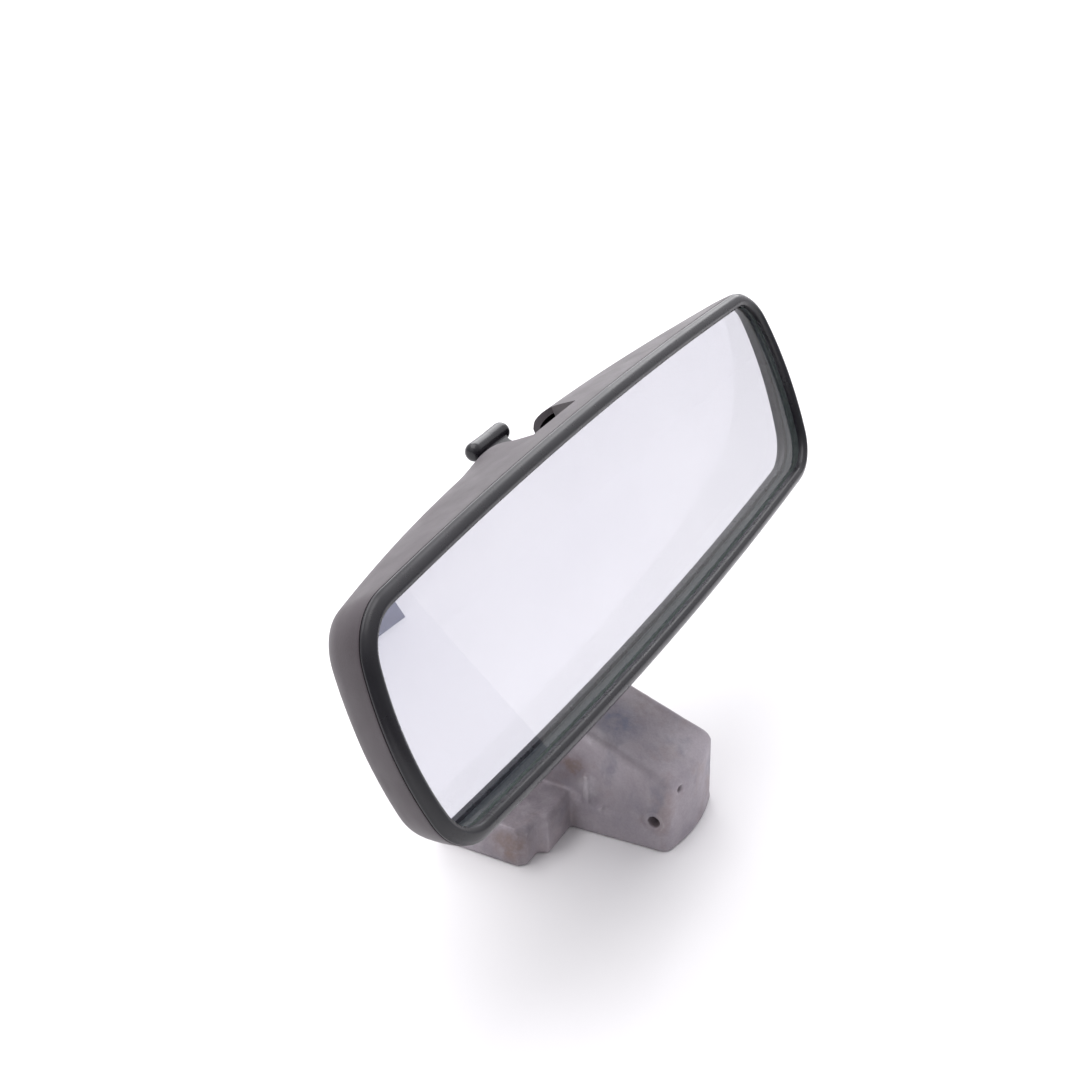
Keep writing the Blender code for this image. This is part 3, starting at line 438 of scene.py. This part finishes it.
def make_socket():
    """The two halves that clamp the ball: the housing with its flange, and the cap."""
    plate_back = PIVOT[1] - PLATE_THICK / 2 - GAP
    body = add_object("socket_moulding", sphere(SOCKET_OUTER), True)
    joins = [add_object("pedestal", rod(0.0106, -0.041, -0.0240, (0, BALL.y, 0), (0, 0, 1)), True),
             add_object("flange", box((-0.0165, -0.0153, -0.0246), (0.0165, 0.0085, plate_back)), True)]
    cuts = [half_space(-GAP / 2, 1), add_object("cavity", sphere(SOCKET_INNER), True), mouth()]
    for sign in (-1, 1):
        joins += ear(sign, -0.0055, 0.0010)
        at = BALL + Vector((sign * EAR_U, 0, 0))
        cuts.append(add_object("thread", rod(0.0013, -0.0045, 0.002, at, BACK), True))
        at = (sign * RIVET[0], RIVET[1], PIVOT[1])
        cuts.append(add_object("rivet_hole", rod(0.0016, -0.006, 0.002, at, (0, 0, 1)), True))
    housing = soften(carve(body, joins, cuts), 0.0003, 3)
    cap = add_object("socket_cap_moulding", sphere(SOCKET_OUTER), True)
    joins = []
    cuts = [half_space(GAP / 2, -1), add_object("cavity", sphere(SOCKET_INNER), True), mouth()]
    for sign in (-1, 1):
        joins += ear(sign, -0.0010, 0.0030)
        at = BALL + Vector((sign * EAR_U, 0, 0))
        cuts.append(add_object("bore", rod(0.0015, -0.001, 0.005, at, BACK), True))
    return housing, soften(carve(cap, joins, cuts), 0.0003, 3)


def make_stud():
    """The ball, its shank with a collar on the neck, and the cross hole for the roll pin."""
    centre = BALL_PLACE
    shank, steps = 0.0042, 30
    start = acos(shank / BALL_RADIUS)
    angles = [-start + (pi / 2 + start) * i / steps for i in range(steps)]
    collar, top = NECK_TOP + GAP, centre.z
    profile = [(0, 0.0362), (0.0028, 0.0362), (0.0035, 0.0369), (0.0035, collar), (0.0066, collar),
               (0.0069, collar + 0.0003), (0.0070, collar + 0.0006), (0.0070, collar + 0.0014),
               (0.0068, collar + 0.0018), (0.0062, collar + 0.0021), (0.0048, collar + 0.0023),
               (shank, collar + 0.0028)]
    profile += [(BALL_RADIUS * cos(a), top + BALL_RADIUS * sin(a)) for a in angles]
    profile.append((0, top + BALL_RADIUS))
    stud = add_object("stud_turning", turned(profile, (0, centre.y, 0), (0, 0, 1), 96))
    hole = add_object("pin_hole", rod(0.0015, -0.006, 0.006, (0, centre.y, PIN_HEIGHT), (1, 0, 0)))
    return carve(stud, (), [hole])


# ---- windscreen foot ----
def wedge_top(y):
    """The height of the wedge's sloping top."""
    return WEDGE_TOP + WEDGE_RISE * (y - WEDGE_FRONT)


def front_points(half, front, radius):
    """Half of a slightly bowed front edge, from its middle round the corner."""
    reach = half - radius
    shares = [i / FRONT_STEPS for i in range(FRONT_STEPS)]
    points = [(reach * s, front + FRONT_BOW * s ** 2) for s in shares]
    start = atan2(2 * FRONT_BOW, reach) - pi / 2
    angles = [start * (1 - i / CORNER_STEPS) for i in range(CORNER_STEPS + 1)]
    middle = front + FRONT_BOW + radius
    return points + [(reach + radius * cos(a), middle + radius * sin(a)) for a in angles]


def base_ring(inset, share):
    """The T-shaped outline of the base at a share of its height."""
    soft = 0.0022
    half, back = SHOULDER_HALF - inset, FOOT_BACK - inset
    step, front = STEP_FRONT + inset, SHOULDER_FRONT + inset
    plan = [(x, y, LEDGE_TOP) for x, y in
            front_points(LEDGE_HALF - inset, TONGUE_FRONT + inset, 0.0034)]
    plan += [(TONGUE_HALF - 0.0006 - inset, 0.0, LEDGE_TOP), (TONGUE_HALF - inset, step, SHOULDER_TOP),
             (STEP_HALF - inset, step, SHOULDER_TOP), (STEP_HALF + 0.0010, front, SHOULDER_TOP),
             (half - soft, front, SHOULDER_TOP), (half, front + soft, SHOULDER_TOP),
             (half, back - soft, SHOULDER_TOP), (half - soft, back, SHOULDER_TOP)]
    right = [(x, y, top * share) for x, y, top in plan]
    return right + [(-x, y, z) for x, y, z in reversed(right)][:-1]


def foot_base():
    """The T-shaped base, whose ledge at the front is lower than its shoulders."""
    levels = ((0, 0.0006), (0.06, 0), (0.88, 0.0010), (1, 0.0021))
    rings = [base_ring(inset, share) for share, inset in levels]
    bm = loft(rings, caps=False)
    bm.verts.ensure_lookup_table()
    count = len(rings[0])
    bm.faces.new(bm.verts[:count][::-1])
    top = bm.verts[-count:]
    ledge = FRONT_STEPS + CORNER_STEPS + 2
    bm.faces.new(top[:ledge] + top[-(ledge - 1):])
    bm.faces.new((top[ledge - 1], top[ledge], top[-ledge], top[-(ledge - 1)]))
    bm.faces.new(top[ledge:-(ledge - 1)])
    return bm


def wedge_ring(inset, back):
    right = front_points(WEDGE_HALF - inset, WEDGE_FRONT + inset, 0.0023)
    right.append((WEDGE_HALF - inset, back))
    return right + [(-x, y) for x, y in reversed(right)][:-1]


def wedge_body():
    low = 0.0020
    rings = []
    for share, inset in ((0.0, 0.0), (0.93, 0.0003), (0.975, 0.0008), (1.0, 0.0019)):
        rings.append([(x, y, low + (wedge_top(y) - low) * share) for x, y in wedge_ring(inset, 0.0340)])
    return loft(rings)


def ellipse(y, z, rx, ry, steps=64):
    angles = [2 * pi * i / steps for i in range(steps)]
    return [(rx * cos(a), y + ry * sin(a), z) for a in angles]


def foot_solids():
    """Everything that is joined to the base: wedge, neck, ribs and bosses."""
    centre = BALL_PLACE
    levels = [(0.009, 0.0135, 0.0085, 0.031), (0.028, 0.0128, 0.0088, 0.0310),
              (0.038, 0.0105, 0.0088, 0.0322), (0.046, 0.0082, 0.0080, centre.y),
              (NECK_TOP - 0.001, 0.0074, 0.0074, centre.y), (NECK_TOP, 0.0064, 0.0064, centre.y)]
    solids = [wedge_body(), loft([ellipse(y, z, rx, ry) for z, rx, ry, y in levels])]
    for sign in (-1, 1):
        points = [(sign * 0.004, 0.008), (sign * 0.037, 0.008), (sign * 0.037, 0.0125),
                  (sign * 0.004, 0.042)]
        solids.append(loft([[(x, y, z) for x, z in points]
                            for y in (centre.y - 0.0018, centre.y + 0.0018)]))
        inner, outer = sign * 0.010, sign * (WEDGE_HALF + 0.0014)
        upright = [(0.0031, 0.0035), (0.0053, 0.0035), (0.0051, 0.0187), (0.0037, 0.0187)]
        solids.append(loft([[(x, *p) for p in upright] for x in (inner, outer)]))
        slope = [(-0.0010, 0.001), (0.0100, 0.001), (0.0100, 0.0022), (-0.0010, 0.0098)]
        solids.append(loft([[(x, *p) for p in slope] for x in (inner, sign * (LEDGE_HALF + 0.0007))]))
        solids.append(rod(0.0034, 0.008, WEDGE_HALF + 0.0008, (0, *BOSS), (sign, 0, 0)))
    return [add_object("foot_solid", bm, smooth=False) for bm in solids]


def foot_hollows():
    """Everything that is cut from the foot: pockets, button channel, bores and holes."""
    centre = BALL_PLACE
    end = FOOT_BACK + 0.004
    hollows = [box((-0.0092, CHANNEL_START, -0.002), (0.0092, end, 0.0028)),
               box((-0.0118, CHANNEL_START, 0.0024), (0.0118, end, 0.0068)),
               box((-0.0062, CHANNEL_START + 0.0015, 0.0060), (0.0062, 0.0392, 0.0100)),
               rod(0.0038, 0.035, 0.060, (0, centre.y, 0), (0, 0, 1)),
               rod(0.0015, -0.016, 0.016, (0, centre.y, PIN_HEIGHT), (1, 0, 0)),
               rod(0.0011, -0.002, 0.0042, (WITNESS_HOLE[0], WEDGE_FRONT, WITNESS_HOLE[1]), (0, 1, 0)),
               rod(0.0012, 0.009, 0.0168, (0, 0.0172, 0), (0, 0, 1)),
               rod(0.0012, 0.009, 0.0168, (0, 0.0358, 0), (0, 0, 1))]
    for sign in (-1, 1):
        for near, far in ((0.0150, 0.0250), (0.0270, 0.0365)):
            x0, x1 = sorted((sign * near, sign * far))
            hollows.append(box((x0, 0.0145, -0.002), (x1, 0.0385, 0.0080)))
        x0, x1 = sorted((sign * 0.0040, sign * 0.0118))
        hollows.append(box((x0, -0.0180, -0.002), (x1, 0.0080, 0.0060)))
        hollows.append(rod(0.0018, 0.0090, 0.020, (0, *BOSS), (sign, 0, 0)))
    return [add_object("foot_hollow", bm, smooth=False) for bm in hollows]


def make_foot():
    """The casting, with a faint unevenness on everything above its flat face."""
    foot = add_object("foot_casting", foot_base(), smooth=False)
    carve(foot, foot_solids(), foot_hollows())
    soften(foot, 0.0005, 4)
    normals = [v.normal.copy() for v in foot.data.vertices]
    places = [v.co.copy() for v in foot.data.vertices]
    moved = []
    for co, normal in zip(places, normals):
        swell = noise.noise(co * 140) * 0.00010 + noise.noise(co * 420) * 0.00005
        moved.extend(co + normal * (swell if co.z > 0.0008 else 0))
    foot.data.vertices.foreach_set("co", moved)
    foot.data.update()
    return foot


# ---- materials ----
class Look:
    """A Principled material with helpers for its texture nodes, in object coordinates."""

    def __init__(self, name, roughness, metallic=0.0, specular=0.5):
        self.mat = bpy.data.materials.new(name)
        self.mat.use_nodes = True
        self.tree = self.mat.node_tree
        self.shader = self.tree.nodes["Principled BSDF"]
        self.shader.inputs["Roughness"].default_value = roughness
        self.shader.inputs["Metallic"].default_value = metallic
        self.shader.inputs["Specular IOR Level"].default_value = specular
        self.coords = self.tree.nodes.new("ShaderNodeTexCoord")

    def link(self, a, b):
        self.tree.links.new(a, b)

    def noise(self, scale, detail=4.0, rough=0.55, stretch=None):
        node = self.tree.nodes.new("ShaderNodeTexNoise")
        node.inputs["Scale"].default_value = scale
        node.inputs["Detail"].default_value = detail
        node.inputs["Roughness"].default_value = rough
        source = self.coords.outputs["Object"]
        if stretch:
            mapping = self.tree.nodes.new("ShaderNodeMapping")
            mapping.inputs["Scale"].default_value = stretch
            self.link(source, mapping.inputs["Vector"])
            source = mapping.outputs["Vector"]
        self.link(source, node.inputs["Vector"])
        return node.outputs["Fac"]

    def ramp(self, value, *stops):
        """A colour ramp: stops of (place, colour or grey)."""
        node = self.tree.nodes.new("ShaderNodeValToRGB")
        elements = node.color_ramp.elements
        while len(elements) < len(stops):
            elements.new(0.5)
        for element, (place, colour) in zip(elements, stops):
            element.position = place
            colour = (colour,) * 3 if isinstance(colour, (int, float)) else colour
            element.color = (*colour, 1)
        self.link(value, node.inputs["Fac"])
        return node.outputs["Color"]

    def mix(self, fac, a, b, mode="MIX"):
        """Mix two colours; each input is a socket, a number or a colour."""
        node = self.tree.nodes.new("ShaderNodeMix")
        node.data_type, node.blend_type = "RGBA", mode
        for socket, value in ((node.inputs[0], fac), (node.inputs[6], a), (node.inputs[7], b)):
            if isinstance(value, bpy.types.NodeSocket):
                self.link(value, socket)
            elif isinstance(value, (int, float)):
                socket.default_value = value
            else:
                socket.default_value = (*value, 1)
        return node.outputs[2]

    def near(self, centre, radius, soft=0.5):
        """1 inside a blob round a point, 0 outside it."""
        away = self.tree.nodes.new("ShaderNodeVectorMath")
        away.operation = "DISTANCE"
        self.link(self.coords.outputs["Object"], away.inputs[0])
        away.inputs[1].default_value = centre
        spread = self.tree.nodes.new("ShaderNodeMapRange")
        spread.inputs["From Min"].default_value = radius * (1 + soft)
        spread.inputs["From Max"].default_value = radius * (1 - soft)
        self.link(away.outputs["Value"], spread.inputs["Value"])
        return spread.outputs["Result"]

    def weaken(self, value, share):
        """A mask at a share of its strength."""
        return self.mix(1.0, value, (share,) * 3, "MULTIPLY")

    def bump(self, height, distance, strength=1.0, under=None):
        node = self.tree.nodes.new("ShaderNodeBump")
        node.inputs["Distance"].default_value = distance
        node.inputs["Strength"].default_value = strength
        self.link(height, node.inputs["Height"])
        if under:
            self.link(under, node.inputs["Normal"])
        self.link(node.outputs["Normal"], self.shader.inputs["Normal"])
        return node.outputs["Normal"]

    def edges(self, low, high):
        """1 along convex edges."""
        node = self.tree.nodes.new("ShaderNodeNewGeometry")
        return self.ramp(node.outputs["Pointiness"], (low, 0), (high, 1))

    def colour(self, socket):
        self.link(socket, self.shader.inputs["Base Color"])

    def roughness(self, value, low, high):
        self.link(self.ramp(value, (0.3, low), (0.7, high)), self.shader.inputs["Roughness"])


def moulded(name, dark, light, roughness, grain, depth, wear=None):
    """Moulded plastic: fine grain, slow colour drift, paler rubbed edges."""
    look = Look(name, roughness)
    drift = look.noise(38, 3)
    colour = look.ramp(drift, (0.35, dark), (0.68, light))
    fine = look.noise(grain, 3, 0.6)
    colour = look.mix(0.35, colour, look.ramp(fine, (0.3, 0.82), (0.7, 1.18)), "MULTIPLY")
    if wear:
        rub = look.mix(look.noise(420, 2), (0, 0, 0), look.edges(0.53, 0.60), "MULTIPLY")
        colour = look.mix(rub, colour, wear)
    look.colour(colour)
    look.roughness(look.noise(90, 4), roughness - 0.05, roughness + 0.06)
    look.bump(fine, depth)
    return look.mat


def metal(name, dark, light, roughness, streak, depth=0.00002):
    """Bare or plated metal: faint tool or brush marks and cloudy roughness."""
    look = Look(name, roughness, 1.0)
    marks = look.noise(240, 4, 0.6, streak)
    look.colour(look.ramp(marks, (0.3, dark), (0.7, light)))
    look.roughness(look.noise(150, 4), roughness - 0.06, roughness + 0.10)
    look.bump(marks, depth, 0.6)
    return look.mat


def glass_clear():
    """Clear glass, very slightly hazed in places."""
    look = Look("prism_clear", 0.0, 0.0)
    shader = look.shader
    shader.inputs["Base Color"].default_value = (0.955, 0.985, 0.972, 1)
    shader.inputs["Transmission Weight"].default_value = 1.0
    shader.inputs["IOR"].default_value = 1.52
    look.link(look.ramp(look.noise(60, 5, 0.6), (0.45, 0.0), (0.9, 0.012)), shader.inputs["Roughness"])
    return look.mat


def glass_silver():
    """The silvered back."""
    look = Look("prism_silver", 0.0, 1.0)
    look.colour(look.ramp(look.noise(14, 2), (0.3, (0.735, 0.712, 0.765)),
                          (0.7, (0.765, 0.742, 0.790))))
    return look.mat


def glass_ground():
    """The ground edge round the prism."""
    look = Look("prism_ground_edge", 0.55)
    look.colour(look.ramp(look.noise(900, 3), (0.3, (0.16, 0.20, 0.19)), (0.7, (0.26, 0.31, 0.295))))
    look.bump(look.noise(2600, 2), 0.00003)
    return look.mat


# Stains, a pale place, painted shade and painted light on the casting: centre, radius, colour, strength.
# Painted shade: a dark patch low on the left shoulder, which lies under the head.
STAINS_AND_PAINTED_LIGHT = (((-0.030, 0.019, 0.006), 0.0150, (0.215, 0.195, 0.215), 0.75),
          # Painted shadow of the head: a dark blue-grey patch on the back of the wedge's top.
          ((-0.003, 0.001, 0.031), 0.0062, (0.200, 0.215, 0.290), 0.80),
          # Two brown stains.
          ((-0.0151, 0.0092, 0.0200), 0.0042, (0.215, 0.155, 0.135), 0.75),
          ((-0.0405, 0.0160, 0.0060), 0.0046, (0.240, 0.170, 0.145), 0.75),
          # Painted light: a pale spot on the wedge's top, at its back left.
          ((-0.0140, 0.0030, 0.0312), 0.0028, (0.640, 0.610, 0.640), 0.80),
          # A pale patch low on the left shoulder.
          ((-0.0300, 0.0090, 0.0005), 0.0075, (0.560, 0.490, 0.510), 0.60),
          # Painted highlight: a pale streak on the upright rib.
          ((-0.0151, 0.0042, 0.0150), 0.0030, (0.600, 0.570, 0.600), 0.60),
          # Painted light: a pale patch on the front of the wedge's top.
          ((0.0040, -0.0170, 0.0250), 0.0080, (0.520, 0.485, 0.520), 0.50),
          # Painted shade: a dark patch on the wedge's left side, turned away from the light.
          ((-0.0152, -0.0120, 0.0110), 0.0070, (0.270, 0.250, 0.285), 0.50),
          # Painted light: a pale spot on the wedge's top, at its back right.
          ((0.0100, 0.0020, 0.0310), 0.0060, (0.540, 0.510, 0.545), 0.50))


def cast_metal():
    """As-cast die metal: cloudy grey with brown and blue-grey stains, placed patches of painted shade
    and painted light, a painted highlight along its edges, fine pits.
    """
    look = Look("as_cast_metal", 0.6, 0.25)
    cloud = look.noise(55, 5, 0.6)
    colour = look.ramp(cloud, (0.30, (0.300, 0.275, 0.310)), (0.50, (0.390, 0.352, 0.385)),
                       (0.72, (0.465, 0.430, 0.470)))
    brown = look.ramp(look.noise(85, 4, 0.6), (0.52, 0), (0.66, 1))
    colour = look.mix(look.weaken(brown, 0.5), colour, (0.300, 0.235, 0.225))
    blue = look.ramp(look.noise(70, 4, 0.6, (1.0, 1.3, 0.8)), (0.55, 0), (0.68, 1))
    colour = look.mix(look.weaken(blue, 0.55), colour, (0.200, 0.205, 0.255))
    ragged = look.ramp(look.noise(260, 4, 0.6), (0.34, 0.25), (0.60, 1))
    # Patches from the table, each with a ragged edge: brown stains, a pale place, painted shade and
    # painted light.
    for spot, radius, tone, strength in STAINS_AND_PAINTED_LIGHT:
        patch = look.mix(1.0, look.near(spot, radius), ragged, "MULTIPLY")
        colour = look.mix(look.weaken(patch, strength), colour, tone)
    fine = look.noise(1500, 4, 0.65)
    colour = look.mix(0.5, colour, look.ramp(fine, (0.3, 0.85), (0.7, 1.15)), "MULTIPLY")
    # Painted highlight: pale colour along every convex edge, where the edges catch the light.
    colour = look.mix(look.edges(0.52, 0.60), colour, (0.56, 0.53, 0.55))
    look.colour(colour)
    look.roughness(look.noise(120, 4), 0.48, 0.70)
    under = look.bump(look.noise(300, 4), 0.00012, 0.7)
    look.bump(fine, 0.00006, 0.8, under)
    return look.mat


def make_looks():
    """One material for each slot of the record, except the glass."""
    return {
        "satin_black_plastic": moulded("satin_black", (0.009, 0.009, 0.012), (0.014, 0.013, 0.017),
                                       0.27, 1400, 0.000006, (0.10, 0.10, 0.11)),
        "matte_black_plastic": moulded("matte_black", (0.048, 0.037, 0.043), (0.062, 0.050, 0.057),
                                       0.44, 2200, 0.00004, (0.13, 0.12, 0.13)),
        "black_nylon": moulded("nylon_black", (0.035, 0.035, 0.037), (0.052, 0.052, 0.055),
                               0.45, 1100, 0.00003),
        "natural_nylon": moulded("nylon_natural", (0.66, 0.64, 0.58), (0.78, 0.77, 0.72),
                                 0.42, 900, 0.00002),
        "cast_metal": cast_metal(),
        "zinc_plated_steel": metal("zinc_plate", (0.46, 0.46, 0.45), (0.66, 0.66, 0.68),
                                   0.34, (1, 1, 1)),
        "dark_spring_steel": metal("spring_steel_dark", (0.13, 0.12, 0.12), (0.25, 0.25, 0.27),
                                   0.38, (1, 3, 1)),
        "bright_steel": metal("steel_bright", (0.55, 0.55, 0.56), (0.76, 0.76, 0.77),
                              0.20, (1, 1, 9)),
        "black_foam": moulded("foam_black", (0.06, 0.06, 0.065), (0.12, 0.12, 0.125),
                              0.9, 700, 0.0002),
        "rubber": moulded("rubber_black", (0.020, 0.020, 0.020), (0.035, 0.035, 0.035),
                          0.75, 600, 0.00005),
    }


# ---- assembly ----
def place(obj, body, slot, look, *nodes):
    """Give a finished piece its body and material, and hide the CAD nodes that it stands for. The slot
    argument is not used.
    """
    if look:
        obj.data.materials.clear()
        obj.data.materials.append(look)
    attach(obj, body)
    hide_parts(*nodes)


def dress_cad(looks):
    """CAD nodes that stay get the full material of their slot."""
    for part in frame["record"]["subparts"]:
        obj = frame["nodes"][part["node"]]
        if part["material_slot"] in looks:
            obj.data.materials.clear()
            obj.data.materials.append(looks[part["material_slot"]])


# ---- stage ----
FLOOR_HALF = 6.0
CARD_WIDTH, CARD_HEIGHT, CARD_HALF_THICK = 0.30, 0.34, 0.002
CARD_CORNER, CARD_TURN = (0.392, -0.452, 0), radians(47)
BRIGHT_SIDE = Vector((0.62, 0.42, 0.66)).normalized()
DIM, BRIGHT = 0.18, 1.25
LIT_PLACE = Vector((0, 0, 0.06))
# name, place, width, height, watts, colour
SOFTBOXES = (("softbox_top", (-0.1, 0.5, 1.5), 1.6, 1.2, 15, (1.0, 0.985, 1.0)),
             ("softbox_left", (-1.3, 0.5, 0.9), 0.9, 0.9, 1.5, (1.0, 0.97, 0.97)),
             ("softbox_right", (1.3, 0.7, 0.85), 1.3, 1.0, 12, (0.98, 0.98, 1.0)))
CAMERA_PLACE, CAMERA_LOOK, LENS = (-0.3818, -0.1745, 0.3227), Vector((0.7722, 0.4094, -0.4860)), 58.3


def make_floor():
    look = Look("floor_paper", 0.6, specular=0.2)
    look.colour(look.ramp(look.noise(3, 2), (0.3, (0.90, 0.895, 0.90)), (0.7, (0.92, 0.915, 0.92))))
    size = FLOOR_HALF
    floor = add_object("floor", box((-size, -size, -0.004), (size, size, -0.00005)))
    floor.data.materials.append(look.mat)


def make_card():
    """A grey card outside the camera's view, which the glass's upper left corner reflects."""
    look = Look("card_grey", 0.8, specular=0.1)
    look.colour(look.ramp(look.noise(5, 2), (0.3, (0.27, 0.28, 0.34)), (0.7, (0.31, 0.32, 0.38))))
    card = add_object("card", box((-CARD_WIDTH, -CARD_HALF_THICK, 0), (0, CARD_HALF_THICK, CARD_HEIGHT)))
    card.location = CARD_CORNER
    card.rotation_euler = (0, 0, CARD_TURN)
    card.data.materials.append(look.mat)


def make_light():
    """Soft light all round, brighter towards one side, and three softboxes."""
    world = bpy.data.worlds.new("studio")
    world.use_nodes = True
    tree = world.node_tree
    background = tree.nodes["Background"]
    background.inputs["Color"].default_value = (0.975, 0.965, 1.0, 1)
    sky = tree.nodes.new("ShaderNodeTexCoord")
    toward = tree.nodes.new("ShaderNodeVectorMath")
    toward.operation = "DOT_PRODUCT"
    toward.inputs[1].default_value = BRIGHT_SIDE
    tree.links.new(sky.outputs["Generated"], toward.inputs[0])
    spread = tree.nodes.new("ShaderNodeMapRange")
    spread.inputs["From Min"].default_value, spread.inputs["From Max"].default_value = -0.6, 1.0
    spread.inputs["To Min"].default_value, spread.inputs["To Max"].default_value = DIM, BRIGHT
    tree.links.new(toward.outputs["Value"], spread.inputs["Value"])
    tree.links.new(spread.outputs["Result"], background.inputs["Strength"])
    bpy.context.scene.world = world
    for name, at, width, height, power, colour in SOFTBOXES:
        light = bpy.data.lights.new(name, "AREA")
        light.shape, light.size, light.size_y = "RECTANGLE", width, height
        light.energy, light.color = power, colour
        lamp = bpy.data.objects.new(name, light)
        lamp.location = at
        lamp.rotation_euler = (LIT_PLACE - Vector(at)).to_track_quat("-Z", "Y").to_euler()
        bpy.context.scene.collection.objects.link(lamp)


def make_camera():
    data = bpy.data.cameras.new("camera")
    data.sensor_width, data.lens = 36, LENS
    data.clip_start, data.clip_end = 0.01, 50
    camera = bpy.data.objects.new("camera", data)
    camera.location = CAMERA_PLACE
    camera.rotation_euler = CAMERA_LOOK.to_track_quat("-Z", "Y").to_euler()
    bpy.context.scene.collection.objects.link(camera)
    bpy.context.scene.camera = camera
    bpy.context.scene.view_settings.view_transform = "Standard"


def main():
    looks = make_looks()
    make_floor()
    make_card()
    make_light()
    make_camera()
    dress_cad(looks)
    place(make_housing(), "head", "matte_black_plastic", looks["matte_black_plastic"], "rear_housing")
    place(make_bezel(), "head", "satin_black_plastic", looks["satin_black_plastic"], "front_bezel")
    place(make_glass(), "head", "silvered_glass", None, "mirror_glass")
    place(make_lever(), "lever", "satin_black_plastic", looks["satin_black_plastic"], "day_night_lever")
    housing, cap = make_socket()
    place(housing, "bracket", "black_nylon", looks["black_nylon"], "socket_housing")
    place(cap, "bracket", "black_nylon", looks["black_nylon"], "socket_cap")
    place(make_stud(), "foot", "bright_steel", looks["bright_steel"], "ball_stud")
    place(make_foot(), "foot", "cast_metal", looks["cast_metal"], "windscreen_foot")


main()
